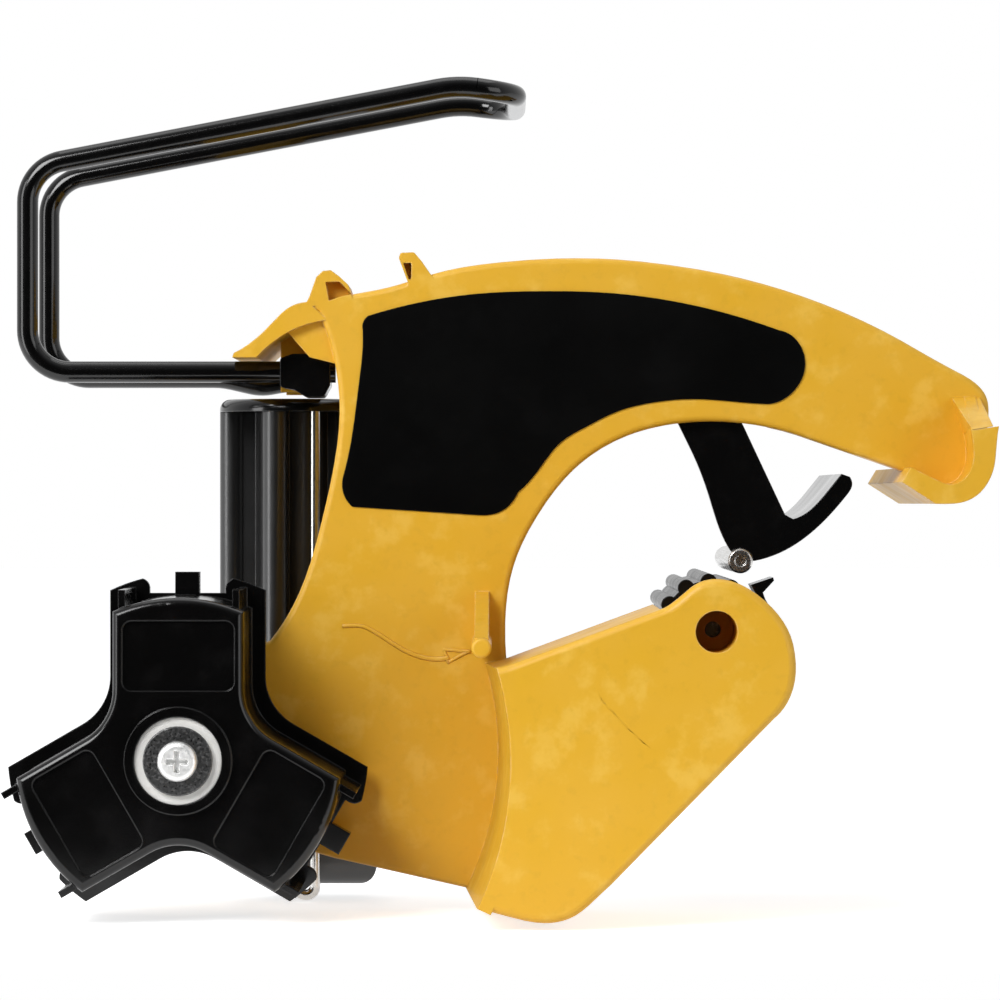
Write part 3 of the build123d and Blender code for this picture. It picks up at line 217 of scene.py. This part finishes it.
def close_group(group, **results):
    """Link a group's results to its outputs."""
    for label, result in results.items():
        group.links.new(result, group.nodes["Out"].inputs[label])


def mottle_group():
    """Cloudy paler and deeper patches, as in moulded plastic with filler in it."""
    group = open_group("Mottle", [
        ("Colour", "NodeSocketColor", (0.5, 0.5, 0.5, 1)),
        ("Pale", "NodeSocketColor", (0.8, 0.8, 0.8, 1)),
        ("Deep", "NodeSocketColor", (0.2, 0.2, 0.2, 1)),
        ("Scale", "NodeSocketFloat", 60.0),
        ("Pale Amount", "NodeSocketFloat", 0.3),
        ("Deep Amount", "NodeSocketFloat", 0.3),
    ], [("Colour", "NodeSocketColor")])
    if group is None:
        return
    socket = group.nodes["In"].outputs
    broad = noise_in(group, socket["Scale"], 4.0, 0.6)
    finer = noise_in(group, combine_in(group, "MULTIPLY", socket["Scale"], 3.7), 3.0)
    clouds = range_in(group, broad, 0.50, 0.68, smooth=True)
    spots = range_in(group, finer, 0.52, 0.75, smooth=True)
    pale = combine_in(group, "MULTIPLY", clouds, socket["Pale Amount"])
    deep = combine_in(group, "MULTIPLY", spots, socket["Deep Amount"])
    clouded = mix_in(group, pale, socket["Colour"], socket["Pale"])
    close_group(group, Colour=mix_in(group, deep, clouded, socket["Deep"]))


def edge_wear_group():
    """A broken mask along rounded-over edges."""
    group = open_group("Edge Wear", [
        ("Radius", "NodeSocketFloat", 0.0006),
        ("Amount", "NodeSocketFloat", 0.5),
    ], [("Mask", "NodeSocketFloat")])
    if group is None:
        return
    socket = group.nodes["In"].outputs
    bevel = group.nodes.new("ShaderNodeBevel")
    bevel.samples = EDGE_SAMPLES
    group.links.new(socket["Radius"], bevel.inputs["Radius"])
    facing = group.nodes.new("ShaderNodeNewGeometry")
    dot = group.nodes.new("ShaderNodeVectorMath")
    dot.operation = "DOT_PRODUCT"
    group.links.new(bevel.outputs["Normal"], dot.inputs[0])
    group.links.new(facing.outputs["Normal"], dot.inputs[1])
    turned = combine_in(group, "SUBTRACT", 1.0, dot.outputs["Value"])
    edge = range_in(group, turned, 0.01, 0.12, smooth=True)
    broken = range_in(group, noise_in(group, 420.0, 5.0), 0.42, 0.62, smooth=True)
    worn = combine_in(group, "MULTIPLY", edge, broken)
    close_group(group, Mask=combine_in(group, "MULTIPLY", worn, socket["Amount"]))


def grain_group():
    """Fine mould grain for a bump, and a slow change of roughness."""
    group = open_group("Grain", [
        ("Scale", "NodeSocketFloat", 1800.0),
        ("Rough Low", "NodeSocketFloat", 0.3),
        ("Rough High", "NodeSocketFloat", 0.5),
    ], [("Height", "NodeSocketFloat"), ("Roughness", "NodeSocketFloat")])
    if group is None:
        return
    socket = group.nodes["In"].outputs
    fine = noise_in(group, socket["Scale"], 2.0)
    slow = noise_in(group, combine_in(group, "MULTIPLY", socket["Scale"], 0.05), 3.0)
    rough = range_in(group, slow, 0.3, 0.7, socket["Rough Low"], socket["Rough High"])
    close_group(group, Height=fine, Roughness=rough)


def dust_group():
    """Thin dust that settles on faces turned upward."""
    group = open_group("Dust", [
        ("Amount", "NodeSocketFloat", 0.2),
    ], [("Mask", "NodeSocketFloat")])
    if group is None:
        return
    socket = group.nodes["In"].outputs
    facing = group.nodes.new("ShaderNodeNewGeometry")
    parts = group.nodes.new("ShaderNodeSeparateXYZ")
    group.links.new(facing.outputs["Normal"], parts.inputs[0])
    upward = range_in(group, parts.outputs["Z"], 0.3, 1.0, smooth=True)
    speckled = range_in(group, noise_in(group, 900.0, 6.0, 0.7), 0.45, 0.75, smooth=True)
    settled = combine_in(group, "MULTIPLY", upward, speckled)
    close_group(group, Mask=combine_in(group, "MULTIPLY", settled, socket["Amount"]))


def streak_group():
    """Fine lines along one axis, as drawn or turned metal has."""
    group = open_group("Streaks", [
        ("Stretch", "NodeSocketVector", (60.0, 2500.0, 2500.0)),
        ("Rough Low", "NodeSocketFloat", 0.15),
        ("Rough High", "NodeSocketFloat", 0.35),
    ], [("Height", "NodeSocketFloat"), ("Roughness", "NodeSocketFloat")])
    if group is None:
        return
    socket = group.nodes["In"].outputs
    spread = group.nodes.new("ShaderNodeVectorMath")
    spread.operation = "MULTIPLY"
    group.links.new(place_in(group), spread.inputs[0])
    group.links.new(socket["Stretch"], spread.inputs[1])
    lines = noise_in(group, 1.0, 3.0, 0.5, spread.outputs["Vector"])
    rough = range_in(group, lines, 0.3, 0.7, socket["Rough Low"], socket["Rough High"])
    close_group(group, Height=lines, Roughness=rough)


# Finishes

def place_group(material, name, **values):
    """A shared effect placed in a material with its own values."""
    node = material.node_tree.nodes.new("ShaderNodeGroup")
    node.node_tree = bpy.data.node_groups[name]
    node.label = name
    for label, value in values.items():
        node.inputs[label.replace("_", " ")].default_value = value
    return node


def blank_finish(name, bump_strength, bump_height):
    """A new material with its shader and a bump that also softens the edges."""
    material = bpy.data.materials.new(name)
    material.use_nodes = True
    tree = material.node_tree
    shader = tree.nodes["Principled BSDF"]
    bump = tree.nodes.new("ShaderNodeBump")
    bump.inputs["Strength"].default_value = bump_strength
    bump.inputs["Distance"].default_value = bump_height
    soft_edge = tree.nodes.new("ShaderNodeBevel")
    soft_edge.samples = EDGE_SAMPLES
    soft_edge.inputs["Radius"].default_value = SOFT_EDGE
    tree.links.new(soft_edge.outputs["Normal"], bump.inputs["Normal"])
    tree.links.new(bump.outputs["Normal"], shader.inputs["Normal"])
    return material, shader, bump


def shaded(colour, share):
    """A colour with each of its parts times a share, at most 1."""
    return tuple(min(1.0, share * part) for part in colour)


def moulded_plastic(name, colour, pale, deep, rough, clouds, amounts, grain, height, shine=0.5,
                    wear=0.0, dust=0.0):
    """Plastic with clouds of a paler and a deeper tone, fine grain, worn edges and dust."""
    material, shader, bump = blank_finish(name, 0.35, height)
    tree = material.node_tree
    mottle = place_group(material, "Mottle", Colour=(*colour, 1), Pale=(*pale, 1), Deep=(*deep, 1),
                         Scale=clouds, Pale_Amount=amounts[0], Deep_Amount=amounts[1])
    edge = place_group(material, "Edge Wear", Radius=WORN_EDGE, Amount=wear)
    settled = place_group(material, "Dust", Amount=dust)
    surface = place_group(material, "Grain", Scale=grain, Rough_Low=rough[0], Rough_High=rough[1])
    chalky = (*[0.5 + 0.5 * part for part in pale], 1)
    worn = mix_in(tree, edge.outputs["Mask"], mottle.outputs["Colour"], chalky)
    dusted = mix_in(tree, settled.outputs["Mask"], worn, DUST_COLOUR)
    tree.links.new(dusted, shader.inputs["Base Color"])
    tree.links.new(surface.outputs["Roughness"], shader.inputs["Roughness"])
    tree.links.new(surface.outputs["Height"], bump.inputs["Height"])
    shader.inputs["Specular IOR Level"].default_value = shine
    return material


def drawn_metal(name, colour, rough, stretch, spots, contrast):
    """Metal with fine lines and a change of tone."""
    material, shader, bump = blank_finish(name, 0.2, 0.02 * MM)
    link = material.node_tree.links.new
    mottle = place_group(material, "Mottle", Colour=(*colour, 1), Pale=(*shaded(colour, contrast), 1),
                         Deep=(*shaded(colour, 0.7 / contrast), 1), Scale=spots,
                         Pale_Amount=0.5, Deep_Amount=0.45)
    lines = place_group(material, "Streaks", Stretch=stretch, Rough_Low=rough[0], Rough_High=rough[1])
    link(mottle.outputs["Colour"], shader.inputs["Base Color"])
    link(lines.outputs["Roughness"], shader.inputs["Roughness"])
    link(lines.outputs["Height"], bump.inputs["Height"])
    shader.inputs["Metallic"].default_value = 1.0
    return material


def dress(names, material):
    """Give CAD nodes or pieces one material in all their slots."""
    for name in names:
        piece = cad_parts[name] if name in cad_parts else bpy.data.objects[name]
        piece.data.materials.clear()
        piece.data.materials.append(material)


# Pieces

def body_piece(name, shape):
    """Turn a bmesh into a piece that rides on the body and has its finish."""
    bmesh.ops.recalc_face_normals(shape, faces=shape.faces)
    mesh = bpy.data.meshes.new(name)
    shape.to_mesh(mesh)
    shape.free()
    piece = bpy.data.objects.new(name, mesh)
    bpy.context.scene.collection.objects.link(piece)
    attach(piece, "frame")
    dress([name], bpy.data.materials[BODY_FINISH])
    return piece


def ribbon_piece(name, track, widths, back, proud):
    """A thin raised ribbon on the body's face, wide as widths say along track."""
    shape = bmesh.new()
    rows = []
    for index, (right, up) in enumerate(track):
        before = Vector(track[max(0, index - 1)])
        after = Vector(track[min(len(track) - 1, index + 1)])
        along = (after - before).normalized()
        side = Vector((-along.y, along.x)) * widths[index] / 2
        section = ((-1, back), (-RIBBON_TOP_SHARE, back - proud), (RIBBON_TOP_SHARE, back - proud),
                   (1, back))
        rows.append([shape.verts.new((MM * (right + share * side.x), MM * depth,
                                      MM * (up + share * side.y))) for share, depth in section])
    for one, other in zip(rows, rows[1:]):
        for corner in range(3):
            shape.faces.new((one[corner], one[corner + 1], other[corner + 1], other[corner]))
        shape.faces.new((one[3], one[0], other[0], other[3]))
    shape.faces.new(rows[0][::-1])
    shape.faces.new(rows[-1])
    for face in body_piece(name, shape).data.polygons:
        face.use_smooth = True


def smooth_track(points, steps):
    """Points along a smooth line through the given ones."""
    line = []
    padded = [points[0], *points, points[-1]]
    for index in range(1, len(padded) - 2):
        a, b, c, d = (Vector(padded[index + shift]) for shift in (-1, 0, 1, 2))
        for step in range(steps):
            t = step / steps
            spot = 0.5 * ((2 * b) + (c - a) * t + (2 * a - 5 * b + 4 * c - d) * t * t
                          + (3 * b - a - 3 * c + d) * t ** 3)
            line.append((spot.x, spot.y))
    line.append(tuple(points[-1]))
    return line


# Stage

def lay_floor(scene, low):
    """A pale floor that ends just before the tool, so that dark fronts don't mirror it."""
    front, drop = low.y - FLOOR_FRONT, low.z - FLOOR_DROP
    mesh = bpy.data.meshes.new("floor")
    mesh.from_pydata([(-FLOOR_REACH, front, drop), (FLOOR_REACH, front, drop),
                      (FLOOR_REACH, FLOOR_REACH, drop), (-FLOOR_REACH, FLOOR_REACH, drop)],
                     [], [(0, 1, 2, 3)])
    floor = bpy.data.objects.new("floor", mesh)
    scene.collection.objects.link(floor)
    floor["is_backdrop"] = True
    material = bpy.data.materials.new("Pale floor")
    material.use_nodes = True
    mesh.materials.append(material)
    tree = material.node_tree
    shader = tree.nodes["Principled BSDF"]
    shader.inputs["Roughness"].default_value = 0.9
    shader.inputs["Specular IOR Level"].default_value = 0.1
    tone = range_in(tree, noise_in(tree, 8.0, 2.0, 0.5), 0.0, 1.0, *FLOOR_TONE)
    tree.links.new(tone, shader.inputs["Base Color"])
    rays = tree.nodes.new("ShaderNodeLightPath").outputs
    bare = combine_in(tree, "MAXIMUM", rays["Is Camera Ray"], rays["Is Glossy Ray"])
    glow = combine_in(tree, "MULTIPLY", bare, FLOOR_GLOW)
    shader.inputs["Emission Color"].default_value = WHITE
    tree.links.new(glow, shader.inputs["Emission Strength"])


def set_world(scene):
    """A soft world, white for the camera, and in gloss white behind and beside the tool."""
    world = bpy.data.worlds.new("White studio")
    scene.world = world
    world.use_nodes = True
    tree = world.node_tree
    aim = tree.nodes.new("ShaderNodeTexCoord")
    parts = tree.nodes.new("ShaderNodeSeparateXYZ")
    tree.links.new(aim.outputs["Generated"], parts.inputs["Vector"])
    away = parts.outputs["Y"]
    # Dim behind the camera, so that flat dark faces stay dark, and brighter round the sides
    dim = tree.nodes["Background"]
    dim.inputs["Color"].default_value = (0.95, 0.97, 1.0, 1)
    tree.links.new(range_in(tree, away, *WORLD_LIGHT), dim.inputs["Strength"])
    plain = tree.nodes.new("ShaderNodeBackground")
    plain.inputs["Color"].default_value = WHITE
    plain.inputs["Strength"].default_value = 1.0
    # Gloss shows the white backdrop, and not the room behind the camera
    rays = tree.nodes.new("ShaderNodeLightPath").outputs
    seen = combine_in(tree, "MAXIMUM", rays["Is Camera Ray"], rays["Is Transmission Ray"])
    backdrop = range_in(tree, away, *WORLD_GLOSS)
    mirrored = combine_in(tree, "MULTIPLY", rays["Is Glossy Ray"], backdrop)
    mix = tree.nodes.new("ShaderNodeMixShader")
    tree.links.new(combine_in(tree, "MAXIMUM", seen, mirrored), mix.inputs["Fac"])
    tree.links.new(dim.outputs[0], mix.inputs[1])
    tree.links.new(plain.outputs[0], mix.inputs[2])
    tree.links.new(mix.outputs[0], tree.nodes["World Output"].inputs["Surface"])


def soft_lamp(scene, name, place, target, size, power):
    """An area lamp that points at its target."""
    lamp = bpy.data.lights.new(name, "AREA")
    lamp.shape = "RECTANGLE"
    lamp.size, lamp.size_y = size
    lamp.energy = power
    holder = bpy.data.objects.new(name, lamp)
    holder.location = place
    holder.rotation_euler = (target - place).to_track_quat("-Z", "Y").to_euler()
    scene.collection.objects.link(holder)


def set_camera(scene, settings):
    """The camera at the photo's place, level and square to the body's faces."""
    camera = bpy.data.cameras.new("camera")
    camera.lens = settings.lens
    camera.sensor_width = SENSOR_WIDTH
    camera.clip_start, camera.clip_end = SIGHT
    holder = bpy.data.objects.new("camera", camera)
    holder.location = (settings.camera_right, -settings.camera_distance, settings.camera_height)
    holder.rotation_euler = (math.radians(90.0), 0.0, 0.0)
    scene.collection.objects.link(holder)
    scene.camera = holder


# Settings

class DispenserColours(bpy.types.PropertyGroup):
    """Colours of the plastics, the coating and the label"""
    body: bpy.props.FloatVectorProperty(
        name="Body", description="Colour of the moulded body", subtype="COLOR", size=3,
        default=(0.752, 0.412, 0.021), min=0, max=1)
    body_pale: bpy.props.FloatVectorProperty(
        name="Body patches", description="Colour of the paler clouds in the body", subtype="COLOR",
        size=3, default=(0.85, 0.54, 0.085), min=0, max=1)
    black: bpy.props.FloatVectorProperty(
        name="Black", description="Colour of the black plastic pieces", subtype="COLOR", size=3,
        default=(0.0016, 0.0015, 0.0015), min=0, max=1)
    coating: bpy.props.FloatVectorProperty(
        name="Wire coating", description="Colour of the coating on the brace", subtype="COLOR",
        size=3, default=(0.0016, 0.0015, 0.0015), min=0, max=1)
    label: bpy.props.FloatVectorProperty(
        name="Label", description="Colour of the bare label", subtype="COLOR", size=3,
        default=(0.0012, 0.0012, 0.0012), min=0, max=1)


class DispenserWear(bpy.types.PropertyGroup):
    """Strength of the patches, worn edges and dust"""
    patches: bpy.props.FloatProperty(
        name="Patches", description="How strongly the paler clouds show on the body",
        subtype="FACTOR", default=0.50, min=0, max=1)
    edges: bpy.props.FloatProperty(
        name="Edge wear", description="How pale the body's edges have worn", subtype="FACTOR",
        default=0.30, min=0, max=1)
    dust: bpy.props.FloatProperty(
        name="Dust", description="How much dust lies on upward faces", subtype="FACTOR",
        default=0.10, min=0, max=1)


class DispenserStage(bpy.types.PropertyGroup):
    """Place of the camera, its lens and the power of the lamps"""
    camera_distance: bpy.props.FloatProperty(
        name="Camera distance", description="From the hub's front plane to the camera",
        subtype="DISTANCE", unit="LENGTH", default=1.150, min=0.3)
    camera_right: bpy.props.FloatProperty(
        name="Camera right", description="Camera's place along the handle", subtype="DISTANCE",
        unit="LENGTH", default=0.0675)
    camera_height: bpy.props.FloatProperty(
        name="Camera height", description="Camera's height above the hub's axis",
        subtype="DISTANCE", unit="LENGTH", default=0.0547)
    lens: bpy.props.FloatProperty(
        name="Lens", description="Focal length on a 36 mm sensor", unit="CAMERA",
        default=197.5, min=20)
    lamp_power: bpy.props.FloatProperty(
        name="Lamp power", description="Share of the lamps' usual power", subtype="FACTOR",
        default=1.0, min=0, max=4)


# Operators

class DISPENSER_OT_effects(bpy.types.Operator):
    """Build the effects that the finishes share"""
    bl_idname = "dispenser.effects"
    bl_label = "Build Shared Effects"

    def execute(self, context):
        for build in (mottle_group, edge_wear_group, grain_group, dust_group, streak_group):
            build()
        return {"FINISHED"}


class DISPENSER_OT_body(bpy.types.Operator):
    """Give the body its cloudy yellow moulded plastic"""
    bl_idname = "dispenser.body"
    bl_label = "Finish Body"

    def execute(self, context):
        colours, wear = context.scene.dispenser_colours, context.scene.dispenser_wear
        plastic = moulded_plastic(
            BODY_FINISH, tuple(colours.body), tuple(colours.body_pale), shaded(colours.body, 0.86),
            rough=(0.36, 0.52), clouds=115.0, amounts=(wear.patches, 0.35), grain=1500.0,
            height=0.03 * MM, wear=wear.edges, dust=wear.dust)
        dress(["body_frame"], plastic)
        return {"FINISHED"}


class DISPENSER_OT_label(bpy.types.Operator):
    """Give the bare label its smooth black film"""
    bl_idname = "dispenser.label"
    bl_label = "Finish Label"

    def execute(self, context):
        black = tuple(context.scene.dispenser_colours.label)
        film = moulded_plastic(
            "Black label film", black, shaded(black, 2.2), shaded(black, 0.6), rough=(0.30, 0.40),
            clouds=90.0, amounts=(0.5, 0.4), grain=700.0, height=0.01 * MM, shine=0.12)
        dress(["side_label"], film)
        return {"FINISHED"}


class DISPENSER_OT_black_pieces(bpy.types.Operator):
    """Give the hub, mandrel, trigger and roller their black plastic"""
    bl_idname = "dispenser.black_pieces"
    bl_label = "Finish Black Pieces"

    def execute(self, context):
        black = tuple(context.scene.dispenser_colours.black)
        tones = black, shaded(black, 3.0), shaded(black, 0.5)
        dust = 0.2 * context.scene.dispenser_wear.dust
        hub = moulded_plastic(
            "Black hub plastic", *tones, rough=(0.12, 0.20), clouds=120.0, amounts=(0.5, 0.4),
            grain=1300.0, height=0.01 * MM, shine=0.4, dust=dust)
        gloss = moulded_plastic(
            "Black gloss plastic", *tones, rough=(0.10, 0.18), clouds=150.0, amounts=(0.4, 0.4),
            grain=900.0, height=0.01 * MM, dust=dust)
        rubber = moulded_plastic(
            "Black roller rubber", *tones, rough=(0.24, 0.36), clouds=260.0, amounts=(0.5, 0.4),
            grain=2400.0, height=0.02 * MM, shine=0.25, wear=0.02, dust=0.5 * dust)
        satin = moulded_plastic(
            "Black satin plastic", *tones, rough=(0.30, 0.40), clouds=150.0, amounts=(0.4, 0.4),
            grain=900.0, height=0.01 * MM, shine=1.0, dust=dust)
        dress(["tape_hub"], hub)
        dress(["paper_mandrel"], satin)
        dress(["mandrel_end_cap", "trigger", "brace_pivot_block", "tape_stripper"], gloss)
        dress(["tape_roller"], rubber)
        return {"FINISHED"}


class DISPENSER_OT_brace(bpy.types.Operator):
    """Give the forearm brace its glossy dipped coating"""
    bl_idname = "dispenser.brace"
    bl_label = "Finish Brace"

    def execute(self, context):
        black = tuple(context.scene.dispenser_colours.coating)
        coating = moulded_plastic(
            "Dipped black coating", black, shaded(black, 2.5), shaded(black, 0.5),
            rough=(0.08, 0.16), clouds=200.0, amounts=(0.4, 0.4), grain=160.0, height=0.05 * MM,
            dust=0.01)
        dress(["arm_brace_wire"], coating)
        return {"FINISHED"}


class DISPENSER_OT_metal_pieces(bpy.types.Operator):
    """Give the rod, bar, screw and washers their metals, and the axle a dark steel that paints the
    shade in its hole
    """
    bl_idname = "dispenser.metal_pieces"
    bl_label = "Finish Metal Pieces"

    def execute(self, context):
        for *finish, pieces in METALS:
            dress(pieces, drawn_metal(*finish))
        return {"FINISHED"}


class DISPENSER_OT_bushing(bpy.types.Operator):
    """Give the hub's bushing its waxy white plastic"""
    bl_idname = "dispenser.bushing"
    bl_label = "Finish Bushing"

    def execute(self, context):
        white = moulded_plastic(
            "Waxy white plastic", (0.82, 0.81, 0.78), (0.88, 0.87, 0.85), (0.70, 0.68, 0.63),
            rough=(0.34, 0.48), clouds=200.0, amounts=(0.5, 0.3), grain=1500.0, height=0.02 * MM,
            wear=0.1, dust=0.05)
        dress(["hub_bushing"], white)
        return {"FINISHED"}


class DISPENSER_OT_channel_gusset(bpy.types.Operator):
    """Add the sloping web that runs from the handle's face to the blade channel's wall"""
    bl_idname = "dispenser.channel_gusset"
    bl_label = "Add Channel Gusset"

    def execute(self, context):
        shape = bmesh.new()
        corners = [shape.verts.new([MM * part for part in corner]) for corner in WEB_CORNERS]
        for face in WEB_FACES:
            shape.faces.new([corners[index] for index in face])
        body_piece("channel_gusset", shape)
        return {"FINISHED"}


class DISPENSER_OT_raised_marks(bpy.types.Operator):
    """Add the plain curved arrow and the short arc that stand on the body"""
    bl_idname = "dispenser.raised_marks"
    bl_label = "Add Raised Marks"

    def execute(self, context):
        tail = smooth_track(ARROW_TAIL, LONG_STEPS)
        widths = [ARROW_TAIL_WIDTH + ARROW_TAIL_WIDENING * index / len(tail)
                  for index in range(len(tail))]
        ribbon_piece("raised_arrow_tail", tail, widths, PLATE_FACE, ARROW_TAIL_PROUD)
        for name, proud, points in ARROW_HEAD:
            line = smooth_track(points, SHORT_STEPS)
            ribbon_piece(name, line, [ARROW_HEAD_WIDTH] * len(line), PLATE_FACE, proud)
        # The arm's face is the foremost of the tool, so the arc lies flush with it
        arc = smooth_track(ARM_ARC, LONG_STEPS)
        widths = [ARM_ARC_WIDTH + ARM_ARC_SWELL * math.sin(math.pi * index / len(arc))
                  for index in range(len(arc))]
        ribbon_piece("raised_arm_arc", arc, widths, ARM_FACE + ARM_ARC_SUNK, ARM_ARC_PROUD)
        return {"FINISHED"}


class DISPENSER_OT_stage(bpy.types.Operator):
    """Set the pale floor, the soft lamps, the white world and the camera"""
    bl_idname = "dispenser.stage"
    bl_label = "Set Stage"

    def execute(self, context):
        scene, settings = context.scene, context.scene.dispenser_stage
        scene.view_settings.view_transform = "Standard"
        low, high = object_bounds()
        middle = (low + high) / 2
        lay_floor(scene, low)
        set_world(scene)
        for name, (right, back, up), size, power in LAMPS:
            place = Vector((middle.x + right, back, middle.z + up))
            soft_lamp(scene, name, place, middle, size, power * settings.lamp_power)
        set_camera(scene, settings)
        return {"FINISHED"}


OPERATORS = (
    DISPENSER_OT_effects,
    DISPENSER_OT_body,
    DISPENSER_OT_label,
    DISPENSER_OT_black_pieces,
    DISPENSER_OT_brace,
    DISPENSER_OT_metal_pieces,
    DISPENSER_OT_bushing,
    DISPENSER_OT_channel_gusset,
    DISPENSER_OT_raised_marks,
    DISPENSER_OT_stage,
)


class DISPENSER_PT_panel(bpy.types.Panel):
    """Sidebar panel with the settings and the steps"""
    bl_idname = "DISPENSER_PT_panel"
    bl_label = "Masking Paper Dispenser"
    bl_space_type = "VIEW_3D"
    bl_region_type = "UI"
    bl_category = "Dispenser"

    def draw(self, context):
        layout = self.layout
        for settings in (context.scene.dispenser_colours, context.scene.dispenser_wear,
                         context.scene.dispenser_stage):
            box = layout.box()
            for key in settings.__annotations__:
                box.prop(settings, key)
        for operator in OPERATORS:
            layout.operator(operator.bl_idname)


CLASSES = (DispenserColours, DispenserWear, DispenserStage, *OPERATORS, DISPENSER_PT_panel)


def register():
    """Add the settings, operators and panel to Blender."""
    for cls in CLASSES:
        bpy.utils.register_class(cls)
    bpy.types.Scene.dispenser_colours = bpy.props.PointerProperty(type=DispenserColours)
    bpy.types.Scene.dispenser_wear = bpy.props.PointerProperty(type=DispenserWear)
    bpy.types.Scene.dispenser_stage = bpy.props.PointerProperty(type=DispenserStage)


def unregister():
    """Take them out again, last first."""
    del bpy.types.Scene.dispenser_stage
    del bpy.types.Scene.dispenser_wear
    del bpy.types.Scene.dispenser_colours
    for cls in reversed(CLASSES):
        bpy.utils.unregister_class(cls)


def main():
    """Run every step in its order."""
    register()
    for operator in OPERATORS:
        group, step = operator.bl_idname.split(".")
        getattr(getattr(bpy.ops, group), step)()


if __name__ == "__main__":
    main()
